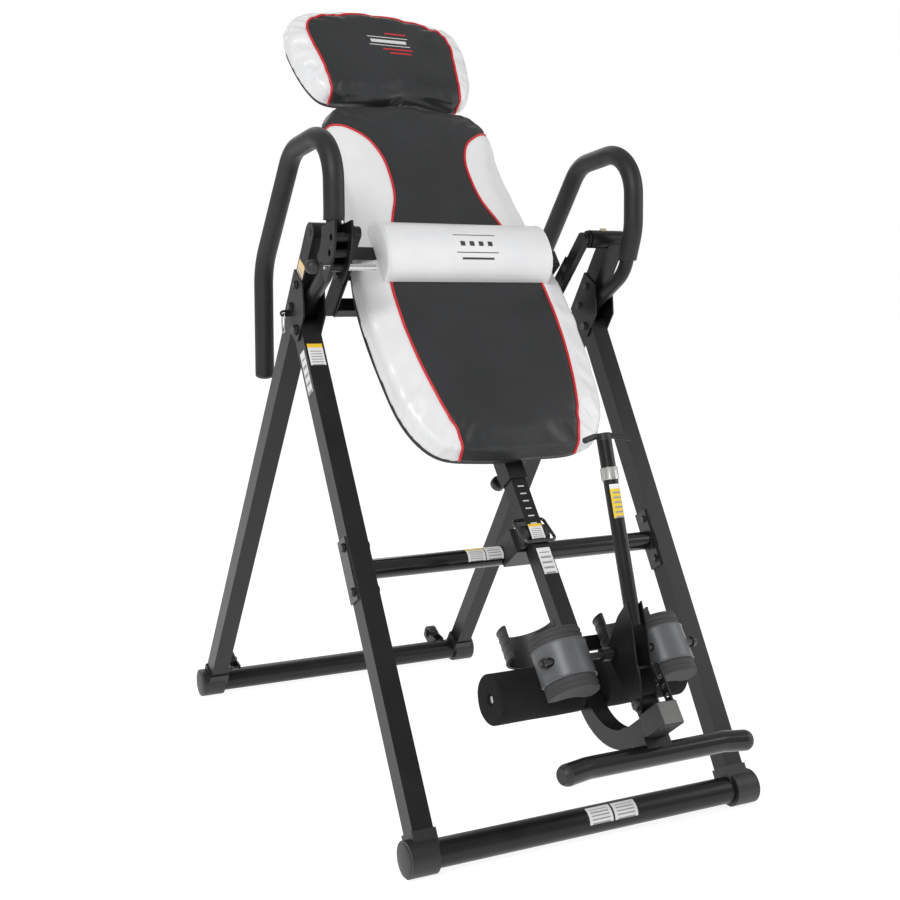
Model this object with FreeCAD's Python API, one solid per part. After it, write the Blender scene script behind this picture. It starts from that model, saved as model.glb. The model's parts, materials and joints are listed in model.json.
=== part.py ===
"""Inversion table: a folding A-frame, a tilting padded table, a sliding boom and an ankle lock.

Millimetres. X is across the user, -Y is the front (feet), +Z is up.
The origin is on the floor, midway between the two base tubes.
"""
import FreeCAD, Part
import math
import os

V = FreeCAD.Vector
X_AXIS = V(1, 0, 0)
Y_AXIS = V(0, 1, 0)
Z_AXIS = V(0, 0, 1)

# ---- stand
BASE_HALF = 544.5          # Y of each base tube
BASE_Z = 30.0
BASE_R = 24.0
BASE_CAP_R = 31.0          # a little more than BASE_Z, so that the caps stand on a flat
BASE_END = 355.0           # outer face of the end caps
BASE_CAP_LEN = 50.0
LEG_START = 28.0           # the legs start this far up from the base tube's centre
LEG_X = 321.0              # both legs of a side stand in this plane
LEG_HALF = 19.0            # half of the 38 mm square tube
WALL = 2.0
PLATE = 3.0
HEAD_GAP = 0.4             # leg side to leg-head plate
PIVOT_Y = -122.0
PIVOT_Z = 1043.0
FOLD_Y = -56.0             # fold hinge
FOLD_Z = 866.0
FOLD_BOLT_R = 5.0
RUN = 0.05                 # radial clearance of a running fit
CROSSBAR_Y = -287.0
CROSSBAR_Z = 452.0
CROSSBAR_R = 18.0

WHEEL_X = 270.0
WHEEL_Y = BASE_HALF + 44
WHEEL_Z = 62.0

# ---- pivot
HOUSING_R = 18.0
HOUSING_IN = 262.0
HOUSING_OUT = 338.0
AXLE_R = 10.0
BUSH_R = 13.0
BUSH_LEN = 22.0

# ---- handles
HANDLE_R = 14.0
GRIP_R = 19.0
HANDLE_PATH = [(-49, 904.7), (-163, 975), (-192, 1060), (-188, 1223), (6, 1200), (174, 985), (174, 768)]
HANDLE_BENDS = [70, 120, 86, 78, 110]
GRIP_FRONT_LEFT = 1062.0   # the foam ends above the selector plates
GRIP_FRONT_RIGHT = 1000.0

# ---- angle selector
PIN_RADIUS = 98.0          # hole circle about the pivot
PIN_ANGLES = [7.0, 23.5, 40.0]   # below the forward horizontal
SECTOR_IN = 54.0
SECTOR_OUT = 114.0
PLATE_OUT_X = -339.0       # outer face of the outer plate
PLATE_IN_X = -303.0        # inner face of the inner plate
SECTOR_T = 4.0
PIN_R = 6.0
PIN_TIP_X = -244.0
KNOB_X = -366.0
KNOB_R = 13.0

# ---- table, in its own frame: x across, y towards the head, z towards the user, origin on the pivot
RECLINE = 52.6             # angle of the table above the floor
SPINE_HALF = 19.0
BOOM_HALF = 16.0
BOOM_Z = -152.0            # centre line of spine and boom
SPINE_LOW = -460.0
SPINE_TOP = 400.0
BOOM_TOP = -200.0
BEND_Y = -890.0            # boom bend starts
BEND_R = 101.0
BOOM_END_Z = -7.0
PAD_FRONT = -78.0
PAD_BACK = -119.0
BOARD_BACK = -133.0
HEAD_FRONT = -78.0
HEAD_BACK = -122.0
ARM_IN = 243.0
ARM_OUT = 257.0
BEAM_Y = -34.0
BEAM_Z = -181.0

ROLLER_Y = -862.0
ROLLER_R = 44.0
ROLLER_END = 190.0
SHAFT_R = 6.0
CUP_X = 98.0
ROD_Y = -858.0
ROD_Z = -21.0
ROD_R = 6.0
LEVER_Y = -955.0
LEVER_Z = -5.0
FOOT_Y = -1034.0
FOOT_Z = -23.0
FOOT_R = 17.5

TABLE = FreeCAD.Placement(V(0, PIVOT_Y, PIVOT_Z), FreeCAD.Rotation(X_AXIS, RECLINE))


def lean_frame(foot_y, top_y, top_z):
    """A frame whose z runs from a base tube's centre to a point above, and that length."""
    dy = top_y - foot_y
    dz = top_z - BASE_Z
    turn = -math.degrees(math.atan2(dy, dz))
    return FreeCAD.Placement(V(0, foot_y, BASE_Z), FreeCAD.Rotation(X_AXIS, turn)), math.hypot(dy, dz)


REAR, REAR_LEN = lean_frame(BASE_HALF, PIVOT_Y, PIVOT_Z)
FRONT, FRONT_LEN = lean_frame(-BASE_HALF, FOLD_Y, FOLD_Z)
FOLD_IN_REAR = REAR.inverse().multVec(V(0, FOLD_Y, FOLD_Z))
CROSSBAR_IN_FRONT = FRONT.inverse().multVec(V(0, CROSSBAR_Y, CROSSBAR_Z))
CROSSBAR_IN_TABLE = TABLE.inverse().multVec(V(0, CROSSBAR_Y, CROSSBAR_Z))

os.makedirs("parts", exist_ok=True)


def box(x0, x1, y0, y1, z0, z1):
    return Part.makeBox(x1 - x0, y1 - y0, z1 - z0, V(x0, y0, z0))


def rod(r, x0, x1, y, z):
    """A cylinder along X."""
    return Part.makeCylinder(r, x1 - x0, V(x0, y, z), X_AXIS)


def tube(r, bore, x0, x1, y, z):
    return rod(r, x0, x1, y, z).cut(rod(bore, x0 - 1, x1 + 1, y, z))


def hexagon(across, x0, x1, y, z):
    """A hexagon prism along X."""
    r = across / math.sqrt(3)
    pts = [V(x0, y + r * math.cos(k * math.pi / 3), z + r * math.sin(k * math.pi / 3)) for k in range(7)]
    return Part.Face(Part.makePolygon(pts)).extrude(V(x1 - x0, 0, 0))


def bolt(r, x0, x1, y, z):
    """A bolt along X: a shank from x0 to x1 with a hexagon head and nut outside them."""
    head = hexagon(r * 3.2, x0 - r * 1.1, x0, y, z)
    nut = hexagon(r * 3.2, x1, x1 + r * 1.3, y, z)
    return fuse([rod(r, x0, x1, y, z), head, nut])


def fuse(shapes):
    whole = shapes[0].fuse(shapes[1:]) if len(shapes) > 1 else shapes[0]
    return whole.removeSplitter()


def both_sides(shape):
    """The shape and its mirror image in the plane X = 0."""
    return [shape, shape.mirror(V(0, 0, 0), X_AXIS)]


def group(shapes):
    return Part.makeCompound(shapes)


def square_tube(x, half, wall, z0, z1):
    outer = box(x - half, x + half, -half, half, z0, z1)
    inner = box(x - half + wall, x + half - wall, -half + wall, half - wall, z0 - 1, z1 + 1)
    return outer.cut(inner)


def prism(points, x0, x1):
    """A (y, z) polygon extruded along X."""
    pts = [V(x0, y, z) for y, z in points]
    return Part.Face(Part.makePolygon(pts + [pts[0]])).extrude(V(x1 - x0, 0, 0))


def bent_path(points, bends):
    """Straight runs joined by tangent arcs, one bend radius for each inner point."""
    edges = []
    start = points[0]
    for i in range(1, len(points) - 1):
        corner = points[i]
        before = (points[i - 1] - corner).normalize()
        after = (points[i + 1] - corner).normalize()
        half = before.getAngle(after) / 2
        reach = bends[i - 1] / math.tan(half)
        a = corner + before * reach
        b = corner + after * reach
        toward = (before + after).normalize()
        middle = corner + toward * (bends[i - 1] / math.sin(half) - bends[i - 1])
        edges.append(Part.LineSegment(start, a).toShape())
        edges.append(Part.Arc(a, middle, b).toShape())
        start = b
    edges.append(Part.LineSegment(start, points[-1]).toShape())
    return edges


def sweep(edges, r):
    """A round bar along a chain of edges."""
    path = Part.Wire(edges)
    first = edges[0]
    at = first.valueAt(first.FirstParameter)
    along = first.tangentAt(first.FirstParameter)
    ring = Part.Wire(Part.makeCircle(r, at, along))
    return path.makePipeShell([ring], True, False)


NODES = {}


def add(name, shape, frame=None):
    """Place a shape from its own frame and keep it as a node."""
    placed = shape.copy()
    if frame is not None:
        placed.Placement = frame.multiply(placed.Placement)
    NODES[name] = placed


# ---------------------------------------------------------------- stand: bases
def base_caps(frame):
    """Both end sleeves of a base tube, each with a square socket for the leg, cut flat on the floor."""
    cap = base_cap()
    cap.Placement = frame
    below = box(0, BASE_END + 1, frame.Base.y - 100, frame.Base.y + 100, -50, 0)
    return group(both_sides(cap.cut(below)))


def base_cap():
    """One sleeve and socket, in the leg's frame."""
    x_in = BASE_END - BASE_CAP_LEN
    sleeve = rod(BASE_CAP_R, x_in, BASE_END, 0, 0)
    socket = box(LEG_X - LEG_HALF - 3, LEG_X + LEG_HALF + 3, -LEG_HALF - 3, LEG_HALF + 3, 0, 40)
    cap = sleeve.fuse(socket)
    cap = cap.cut(rod(BASE_R, LEG_X - LEG_HALF - 5, BASE_END - 4, 0, 0))
    return cap.cut(box(LEG_X - LEG_HALF, LEG_X + LEG_HALF, -LEG_HALF, LEG_HALF, LEG_START, 41))


def base_tube(y):
    return tube(BASE_R, BASE_R - WALL, -BASE_END + 4, BASE_END - 4, y, BASE_Z)


# ---------------------------------------------------------------- stand: rear legs and heads
HEAD_BOLT_Z = [1052.0, 1100.0]
HEAD_Z0 = 1012.0
HEAD_Z1 = 1120.0


def rear_leg():
    """Square tube from the rear base cap up to the pivot housing."""
    leg = square_tube(LEG_X, LEG_HALF, WALL, LEG_START, REAR_LEN)
    leg = leg.cut(rod(HOUSING_R, HOUSING_IN, HOUSING_OUT + 5, 0, REAR_LEN))
    for z in HEAD_BOLT_Z:
        leg = leg.cut(rod(4.0, LEG_X - 40, LEG_X + 40, 0, z))
    return leg


def leg_head():
    """Channel wrapped round the rear leg; its front ears carry the fold hinge and the handle's foot."""
    inner = LEG_HALF + HEAD_GAP
    front = FOLD_IN_REAR.y - 20
    ear = [(LEG_HALF, HEAD_Z1), (-LEG_HALF - 6, HEAD_Z1), (front, HEAD_Z1 - 46), (front, HEAD_Z0 + 6),
           (front + 8, HEAD_Z0 - 2), (-LEG_HALF - 10, HEAD_Z0 - 2), (LEG_HALF, HEAD_Z0 + 16)]
    plates = []
    for x0 in (LEG_X - inner - PLATE, LEG_X + inner):
        plates.append(prism(ear, x0, x0 + PLATE))
    web = box(LEG_X - inner - PLATE, LEG_X + inner + PLATE, LEG_HALF, LEG_HALF + PLATE, HEAD_Z0 + 16, HEAD_Z1)
    head = fuse(plates + [web])
    for z in HEAD_BOLT_Z:
        head = head.cut(rod(4.0, LEG_X - 40, LEG_X + 40, 0, z))
    return head.cut(rod(FOLD_BOLT_R, LEG_X - 40, LEG_X + 40, FOLD_IN_REAR.y, FOLD_IN_REAR.z))


def rear_frame_bolts():
    """Two bolts through each head and rear leg, the fold hinge bolts, and the wheel axles."""
    span = LEG_HALF + HEAD_GAP + PLATE
    bolts = [bolt(4.0, LEG_X - span, LEG_X + span, 0, z) for z in HEAD_BOLT_Z]
    bolts.append(bolt(FOLD_BOLT_R, LEG_X - span, LEG_X + span, FOLD_IN_REAR.y, FOLD_IN_REAR.z))
    wheel_at = REAR.inverse().multVec(V(0, WHEEL_Y, WHEEL_Z))
    bolts.append(bolt(4.0, WHEEL_X - 13, WHEEL_X + 13, wheel_at.y, wheel_at.z))
    return group([s for b in bolts for s in both_sides(b)])


LUG_Y = 4.0
LUG_Z = 1034.0
LUG_OUT = 10.0             # hole of the eye beyond the leg head's plate
LUG_R = 6.5
LUG_BORE = 3.4
WIRE_R = 1.2


def clip_lug():
    """Small eye welded outside the left leg head, for the hairpin clip."""
    x0 = LEG_X + LEG_HALF + HEAD_GAP + PLATE
    eye = Part.makeCylinder(LUG_R, PLATE, V(x0 + LUG_OUT, LUG_Y - PLATE / 2, LUG_Z), Y_AXIS)
    lug = box(x0, x0 + LUG_OUT, LUG_Y - PLATE / 2, LUG_Y + PLATE / 2, LUG_Z - LUG_R, LUG_Z + LUG_R).fuse(eye)
    lug = lug.cut(Part.makeCylinder(LUG_BORE, 20, V(x0 + LUG_OUT, LUG_Y - 10, LUG_Z), Y_AXIS))
    return lug.mirror(V(0, 0, 0), X_AXIS)


def leg_heads():
    right, left = both_sides(leg_head())
    return group([right, fuse([left, clip_lug()])])


def hairpin():
    """Closed wire loop hanging from the eye, with its long side down."""
    out = LEG_X + LEG_HALF + HEAD_GAP + PLATE + LUG_OUT
    at = REAR.multVec(V(-out, LUG_Y, LUG_Z))
    half = 7.0
    drop = 22.0
    top = at.z - half
    low = top - drop
    ring_top = Part.makeTorus(half, WIRE_R, V(at.x, at.y, top), X_AXIS)
    ring_low = Part.makeTorus(half, WIRE_R, V(at.x, at.y, low), X_AXIS)
    above = box(at.x - 5, at.x + 5, at.y - 20, at.y + 20, top, top + 20)
    below = box(at.x - 5, at.x + 5, at.y - 20, at.y + 20, low - 20, low)
    legs = [Part.makeCylinder(WIRE_R, drop, V(at.x, at.y + s * half, low), Z_AXIS) for s in (-1, 1)]
    return fuse([ring_top.common(above), ring_low.common(below)] + legs)


# ---------------------------------------------------------------- pivot housings and handles
def housing():
    shell = tube(HOUSING_R, BUSH_R, HOUSING_IN, HOUSING_OUT, PIVOT_Y, PIVOT_Z)
    return shell


def bushes():
    """Two plastic bearing bushes in each housing."""
    near = tube(BUSH_R, AXLE_R + RUN, HOUSING_IN, HOUSING_IN + BUSH_LEN, PIVOT_Y, PIVOT_Z)
    far = tube(BUSH_R, AXLE_R + RUN, HOUSING_OUT - BUSH_LEN, HOUSING_OUT, PIVOT_Y, PIVOT_Z)
    return group(both_sides(near) + both_sides(far))


def housing_caps():
    cap = rod(HOUSING_R, HOUSING_OUT, HOUSING_OUT + 2, PIVOT_Y, PIVOT_Z)
    return group(both_sides(cap.fuse(rod(7, HOUSING_OUT + 1, HOUSING_OUT + 3, PIVOT_Y, PIVOT_Z))))


def handle_edges():
    pts = [V(LEG_X, y, z) for y, z in HANDLE_PATH]
    return bent_path(pts, HANDLE_BENDS)


def handlebar():
    edges = handle_edges()
    leg = box(LEG_X - LEG_HALF, LEG_X + LEG_HALF, -LEG_HALF, LEG_HALF, 0, REAR_LEN)
    leg.Placement = REAR
    return sweep(edges, HANDLE_R).cut(sweep(edges, HANDLE_R - WALL)).cut(leg)


def grip(first_edge, front_end):
    """Foam sleeve over the handlebar, from one of its edges and a height in front to the free end."""
    edges = handle_edges()[first_edge:]
    sleeve = sweep(edges, GRIP_R).cut(sweep(edges, HANDLE_R))
    return sleeve.cut(box(LEG_X - 60, LEG_X + 60, -400, -100, 0, front_end))


# ---------------------------------------------------------------- angle selector
def pin_place(angle):
    a = math.radians(angle)
    return PIVOT_Y - PIN_RADIUS * math.cos(a), PIVOT_Z - PIN_RADIUS * math.sin(a)


def selector_plates():
    """Both sector plates and the sleeves between them."""
    plates = [sector_plate(PLATE_OUT_X), sector_plate(PLATE_IN_X - SECTOR_T)]
    return group(plates + selector_sleeves())


def sector_plate(x0):
    """Ring sector about the pivot with the hole circle, welded beside the handlebar."""
    ring = tube(SECTOR_OUT, SECTOR_IN, x0, x0 + SECTOR_T, PIVOT_Y, PIVOT_Z)
    top = math.radians(-9)
    low = math.radians(53)
    far = 400
    wedge = prism([(PIVOT_Y, PIVOT_Z),
                   (PIVOT_Y - far * math.cos(top), PIVOT_Z - far * math.sin(top)),
                   (PIVOT_Y - far * math.cos(low), PIVOT_Z - far * math.sin(low))], x0 - 1, x0 + SECTOR_T + 1)
    plate = ring.common(wedge)
    for angle in PIN_ANGLES:
        y, z = pin_place(angle)
        plate = plate.cut(rod(PIN_R + 0.1, x0 - 1, x0 + SECTOR_T + 1, y, z))
    return plate


def selector_sleeves():
    """Tubes that hold the two sector plates apart and guide the pin."""
    sleeves = []
    for angle in PIN_ANGLES:
        y, z = pin_place(angle)
        sleeves.append(tube(8.5, PIN_R + 0.1, PLATE_OUT_X + SECTOR_T, PLATE_IN_X - SECTOR_T, y, z))
    return sleeves


def angle_pin():
    y, z = pin_place(PIN_ANGLES[2])
    return rod(PIN_R, KNOB_X, PIN_TIP_X, y, z)


def angle_knob():
    """Ball and flared neck, turned in one piece round the pin, with a blind hole for it."""
    y, z = pin_place(PIN_ANGLES[2])
    flat = 4.0
    crown = math.sqrt(KNOB_R ** 2 - flat ** 2)
    neck_r = 7.5
    waist = math.sqrt(KNOB_R ** 2 - neck_r ** 2)

    def at(x, r):
        return V(KNOB_X + x, y + r, z)

    ball = Part.Arc(at(-crown, flat), at(0, KNOB_R), at(waist, neck_r)).toShape()
    corners = [at(waist, neck_r), at(18, 9), at(18, PIN_R), at(0, PIN_R)]
    corners += [at(0, 0), at(-crown, 0), at(-crown, flat)]
    sides = [Part.makeLine(a, b) for a, b in zip(corners, corners[1:])]
    face = Part.Face(Part.Wire([ball] + sides))
    return face.revolve(V(KNOB_X, y, z), X_AXIS, 360)


# ---------------------------------------------------------------- front frame
def front_leg():
    """Square tube with a rounded top that turns on the fold bolt."""
    outer = box(LEG_X - LEG_HALF, LEG_X + LEG_HALF, -LEG_HALF, LEG_HALF, LEG_START, FRONT_LEN)
    outer = outer.fuse(rod(LEG_HALF, LEG_X - LEG_HALF, LEG_X + LEG_HALF, 0, FRONT_LEN))
    inside = LEG_HALF - WALL
    inner = box(LEG_X - inside, LEG_X + inside, -inside, inside, LEG_START - 1, FRONT_LEN)
    leg = outer.cut(inner)
    leg = leg.cut(rod(inside, LEG_X - inside, LEG_X + inside, 0, FRONT_LEN))
    leg = leg.cut(rod(FOLD_BOLT_R + RUN, LEG_X - 40, LEG_X + 40, 0, FRONT_LEN))
    for z in crossbar_bolt_heights():
        leg = leg.cut(rod(4.0, LEG_X - 40, LEG_X + 40, 0, z))
    return leg


def crossbar_bolt_heights():
    return [CROSSBAR_IN_FRONT.z - 41, CROSSBAR_IN_FRONT.z + 41]


def crossbar_bracket():
    """Channel that wraps the back of the front leg."""
    z0 = CROSSBAR_IN_FRONT.z - 58
    z1 = CROSSBAR_IN_FRONT.z + 58
    outer = box(LEG_X - LEG_HALF - PLATE, LEG_X + LEG_HALF + PLATE, -12, LEG_HALF + PLATE, z0, z1)
    bracket = outer.cut(box(LEG_X - LEG_HALF, LEG_X + LEG_HALF, -13, LEG_HALF, z0 - 1, z1 + 1))
    for z in crossbar_bolt_heights():
        bracket = bracket.cut(rod(4.0, LEG_X - 40, LEG_X + 40, 0, z))
    return bracket


def crossbar_bolts():
    span = LEG_HALF + PLATE
    bolts = [bolt(4.0, LEG_X - span, LEG_X + span, 0, z) for z in crossbar_bolt_heights()]
    return group([s for b in bolts for s in both_sides(b)])


def crossbar():
    """Round bar welded between the two brackets, in the front frame."""
    half = LEG_X - LEG_HALF - PLATE
    bar = tube(CROSSBAR_R, CROSSBAR_R - WALL, -half, half, CROSSBAR_IN_FRONT.y, CROSSBAR_IN_FRONT.z)
    return fuse([bar] + both_sides(crossbar_bracket()))


def boom_saddle():
    """Plastic cradle on the crossbar, in the table's frame: a floor and two rounded ears."""
    y = CROSSBAR_IN_TABLE.y
    floor = BOOM_Z - BOOM_HALF - 0.6
    block = box(-34, 34, y - 24, y + 24, CROSSBAR_IN_TABLE.z, floor)
    ears = []
    for x0 in (-27, BOOM_HALF + 1):
        ears.append(box(x0, x0 + 10, y - 20, y + 20, floor, floor + 12))
        ears.append(Part.makeCylinder(20, 10, V(x0, y, floor + 12), X_AXIS))
    cradle = fuse([block] + ears)
    return cradle.cut(rod(CROSSBAR_R, -60, 60, y, CROSSBAR_IN_TABLE.z))


# ---------------------------------------------------------------- transport wheels
def rear_base():
    """Rear base tube with two cheeks welded behind it for each transport wheel."""
    cheeks = []
    for x0 in (WHEEL_X - 13, WHEEL_X + 10):
        cheek = prism([(BASE_HALF, BASE_Z - 10), (WHEEL_Y + 10, WHEEL_Z - 10), (WHEEL_Y + 10, WHEEL_Z + 10),
                       (BASE_HALF, BASE_Z + 30)], x0, x0 + 3)
        cheek = cheek.cut(rod(BASE_R - 1, x0 - 1, x0 + 4, BASE_HALF, BASE_Z))
        cheeks += both_sides(cheek.cut(rod(4.0, x0 - 1, x0 + 4, WHEEL_Y, WHEEL_Z)))
    return fuse([base_tube(BASE_HALF)] + cheeks)


def wheel():
    return tube(20, 4.0 + RUN, WHEEL_X - 9, WHEEL_X + 9, WHEEL_Y, WHEEL_Z)


# ---------------------------------------------------------------- table
def pad_outline():
    """Half outline (x, y) of the backrest from the bottom middle round to the top middle."""
    right = [(0, -434), (100, -432), (162, -418), (203, -370), (226, -270), (234, -150), (230, -50),
             (211, 60), (196, 160), (191, 280), (187, 372), (163, 406), (100, 420), (0, 428)]
    left = [(-x, y) for x, y in reversed(right[1:-1])]
    return [V(x, y, 0) for x, y in right + left]


def head_outline():
    right = [(0, 440), (116, 440), (166, 449), (192, 490), (207, 555), (210, 610), (194, 658),
             (150, 685), (80, 700), (0, 705)]
    left = [(-x, y) for x, y in reversed(right[1:-1])]
    return [V(x, y, 0) for x, y in right + left]


def slab(outline, inset, z0, z1):
    """A flat slab with a smooth closed outline, drawn in by about inset all round."""
    half_x = max(p.x for p in outline)
    low = min(p.y for p in outline)
    high = max(p.y for p in outline)
    mid = (low + high) / 2
    scale_x = 1 - inset / half_x
    scale_y = 1 - 2 * inset / (high - low)
    curve = Part.BSplineCurve()
    curve.interpolate([V(p.x * scale_x, mid + (p.y - mid) * scale_y, z0) for p in outline], PeriodicFlag=True)
    return Part.Face(Part.Wire(curve.toShape())).extrude(V(0, 0, z1 - z0))


def spine():
    tube_z0 = BOOM_Z - SPINE_HALF
    outer = box(-SPINE_HALF, SPINE_HALF, SPINE_LOW, SPINE_TOP, tube_z0, BOOM_Z + SPINE_HALF)
    gap = BOOM_HALF + 0.3
    inner = box(-gap, gap, SPINE_LOW - 1, SPINE_TOP + 1, BOOM_Z - gap, BOOM_Z + gap)
    rear = BOOM_Z - SPINE_HALF
    collar = Part.makeCylinder(11, 16, V(0, HEIGHT_PIN_Y, rear - 16), Z_AXIS)
    hole = Part.makeCylinder(5.1, 40, V(0, HEIGHT_PIN_Y, rear - 30), Z_AXIS)
    body = fuse([outer, collar] + board_straps())
    return body.cut(inner).cut(hole)


HEIGHT_PIN_Y = SPINE_LOW + 30
STRAP_YS = (-380, 330)


def height_pin():
    """Spring pull pin with a round knob, drawn just clear of the boom."""
    tip = BOOM_Z - BOOM_HALF - 0.6
    shank = Part.makeCylinder(5.0, 34, V(0, HEIGHT_PIN_Y, tip - 34), Z_AXIS)
    knob = Part.makeCylinder(14, 16, V(0, HEIGHT_PIN_Y, tip - 46), Z_AXIS)
    return fuse([shank, knob.makeFillet(4, knob.Edges)])


ARM_BOLTS = [0.42, 0.56]   # places along the arm


def arm_outline(start, half):
    """A straight strip from part of the way along the arm to the cross beam."""
    back = BEAM_Z - 10
    return [(BEAM_Y * start + half, BEAM_Z * start), (BEAM_Y + half, back),
            (BEAM_Y - half, back), (BEAM_Y * start - half, BEAM_Z * start)]


def arm_holes(shape):
    for t in ARM_BOLTS:
        shape = shape.cut(rod(4.0, ARM_IN - 5, ARM_OUT + 5, BEAM_Y * t, BEAM_Z * t))
    return shape


def pivot_arm():
    """Flat arm with the pivot axle and a thrust collar welded to its end."""
    arm = prism(arm_outline(0, 13), ARM_IN, ARM_OUT).fuse(rod(13, ARM_IN, ARM_OUT, 0, 0))
    shaft = rod(AXLE_R, ARM_IN, HOUSING_OUT - 2, 0, 0)
    collar = rod(15, ARM_OUT, HOUSING_IN - 0.5, 0, 0)
    return fuse([arm_holes(arm), shaft, collar])


def cross_beam():
    """Box beam behind the spine with a bracket plate at each end for the arms."""
    outer = box(-ARM_IN + PLATE, ARM_IN - PLATE, BEAM_Y - 15, BEAM_Y + 15, BEAM_Z - 10, BEAM_Z + 10)
    inner = box(-ARM_IN, ARM_IN, BEAM_Y - 13, BEAM_Y + 13, BEAM_Z - 8, BEAM_Z + 8)
    plate = arm_holes(prism(arm_outline(0.34, 16), ARM_IN - PLATE, ARM_IN))
    return fuse([outer.cut(inner)] + both_sides(plate))


def table_bolts():
    """Arm bolts on both sides and the bolts that hold the backboard to the spine's straps."""
    bolts = []
    for t in ARM_BOLTS:
        bolts += both_sides(bolt(4.0, ARM_IN - PLATE, ARM_OUT, BEAM_Y * t, BEAM_Z * t))
    for y in STRAP_YS:
        for x in (-90, 90):
            nut = Part.makeCylinder(6, 5, V(x, y, BOARD_BACK - 9), Z_AXIS)
            bolts.append(nut)
    return group(bolts)


def board_straps():
    """Flat steel straps welded across the spine, behind the backboard."""
    return [box(-120, 120, y - 15, y + 15, BOARD_BACK - 4, BOARD_BACK) for y in STRAP_YS]


# ---------------------------------------------------------------- lumbar pad and strap
LUMBAR_Y = 8.0
LUMBAR_HALF = 182.0


def lumbar_pad():
    """D-section cushion lying across the backrest."""
    back = PAD_FRONT + 4
    half = 64
    outline = [V(0, -half, 0), V(0, -half, 14), V(0, -half * 0.72, 44), V(0, 0, 58),
               V(0, half * 0.72, 44), V(0, half, 14), V(0, half, 0)]
    curve = Part.BSplineCurve()
    curve.interpolate(outline)
    wire = Part.Wire([curve.toShape(), Part.LineSegment(outline[-1], outline[0]).toShape()])
    face = Part.Face(wire)
    face.translate(V(-LUMBAR_HALF, LUMBAR_Y, back))
    return face.extrude(V(2 * LUMBAR_HALF, 0, 0))


def flat_ring(points, width):
    """The flat face between a closed (x, z) line and the same line moved out by width."""
    ring = Part.makePolygon([V(x, 0, z) for x, z in points + [points[0]]])
    outer = ring.makeOffset2D(width)
    if outer.BoundBox.XLength < ring.BoundBox.XLength:
        outer = ring.makeOffset2D(-width)
    return Part.Face(outer).cut(Part.Face(ring))


def lumbar_strap():
    """Elastic strap from the lumbar pad round the backrest and behind the spine."""
    side = 236
    front = PAD_FRONT + 0.8
    rear = BOOM_Z - SPINE_HALF - 1.5
    corner = BOARD_BACK - 2
    pts = [(-side + 6, front), (side - 6, front), (side, front - 8), (side, corner),
           (30, rear), (-30, rear), (-side, corner), (-side, front - 8)]
    return flat_ring(pts, 2.0).extrude(V(0, 30, 0))


# ---------------------------------------------------------------- headrest
def head_post():
    """Square post that slides in the top of the spine, with a plate for the headrest board."""
    post = box(-BOOM_HALF, BOOM_HALF, 240, 640, BOOM_Z - BOOM_HALF, BOOM_Z + BOOM_HALF)
    bore = BOOM_HALF - 2
    post = post.cut(box(-bore, bore, 239, 641, BOOM_Z - bore, BOOM_Z + bore))
    plate = box(-60, 60, 480, 600, BOOM_Z + BOOM_HALF, BOARD_BACK)
    return post.fuse(plate)


# ---------------------------------------------------------------- boom
def boom_solid(half):
    """The J-shaped boom as a solid bar of the given half section."""
    centre_z = BOOM_Z + BEND_R
    straight = box(-half, half, BEND_Y, BOOM_TOP, BOOM_Z - half, BOOM_Z + half)
    ring = Part.makeCylinder(BEND_R + half, 2 * half, V(-half, BEND_Y, centre_z), X_AXIS)
    ring = ring.cut(Part.makeCylinder(BEND_R - half, 2 * half + 2, V(-half - 1, BEND_Y, centre_z), X_AXIS))
    quarter = ring.common(box(-half, half, BEND_Y - 200, BEND_Y, centre_z - 200, centre_z))
    low = BEND_Y - BEND_R
    forward = box(-half, half, low - half, low + half, centre_z, BOOM_END_Z)
    return fuse([straight, quarter, forward])


HEIGHT_HOLES = [HEIGHT_PIN_Y + 25 * k for k in range(-2, 5)]


def boom():
    bar = boom_solid(BOOM_HALF)
    hollow = boom_solid(BOOM_HALF - 2)
    ends = box(-14, 14, BOOM_TOP - 1, BOOM_TOP + 1, BOOM_Z - 14, BOOM_Z + 14)
    low = BEND_Y - BEND_R
    mouth = box(-14, 14, low - 14, low + 14, BOOM_END_Z - 1, BOOM_END_Z + 1)
    bar = bar.cut(hollow).cut(ends).cut(mouth)
    for y in HEIGHT_HOLES:
        bar = bar.cut(Part.makeCylinder(5.5, 6, V(0, y, BOOM_Z - BOOM_HALF - 2), Z_AXIS))
    bar = bar.cut(rod(SHAFT_R, -30, 30, ROLLER_Y, BOOM_Z))
    return fuse([bar, lever_tab(), foot_bracket()])


def boom_end_block():
    y = BEND_Y - BEND_R
    block = box(-20, 20, y - 20, y + 20, BOOM_END_Z, 50)
    block = block.makeFillet(3, [e for e in block.Edges if e.Length > 39])
    plug = box(-14, 14, y - 14, y + 14, BOOM_END_Z - 16, BOOM_END_Z)
    return block.fuse(plug)


TAB_HALF = 12.2
SIDE_IN = 12.5             # inner face of each lever plate, against the lever tube


def lever_tab():
    """Block on top of the boom's foot that carries the lever's pivot bolt."""
    top = BEND_Y - BEND_R + BOOM_HALF
    tab = box(-TAB_HALF, TAB_HALF, top, LEVER_Y, LEVER_Z - 13, BOOM_END_Z)
    tab = tab.fuse(rod(13, -TAB_HALF, TAB_HALF, LEVER_Y, LEVER_Z).common(box(-13, 13, top, 0, -60, 60)))
    return tab.cut(rod(5.0, -20, 20, LEVER_Y, LEVER_Z))


def lever_bolt():
    return bolt(5.0, -SIDE_IN - PLATE - 0.4, SIDE_IN + PLATE + 0.4, LEVER_Y, LEVER_Z)


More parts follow.
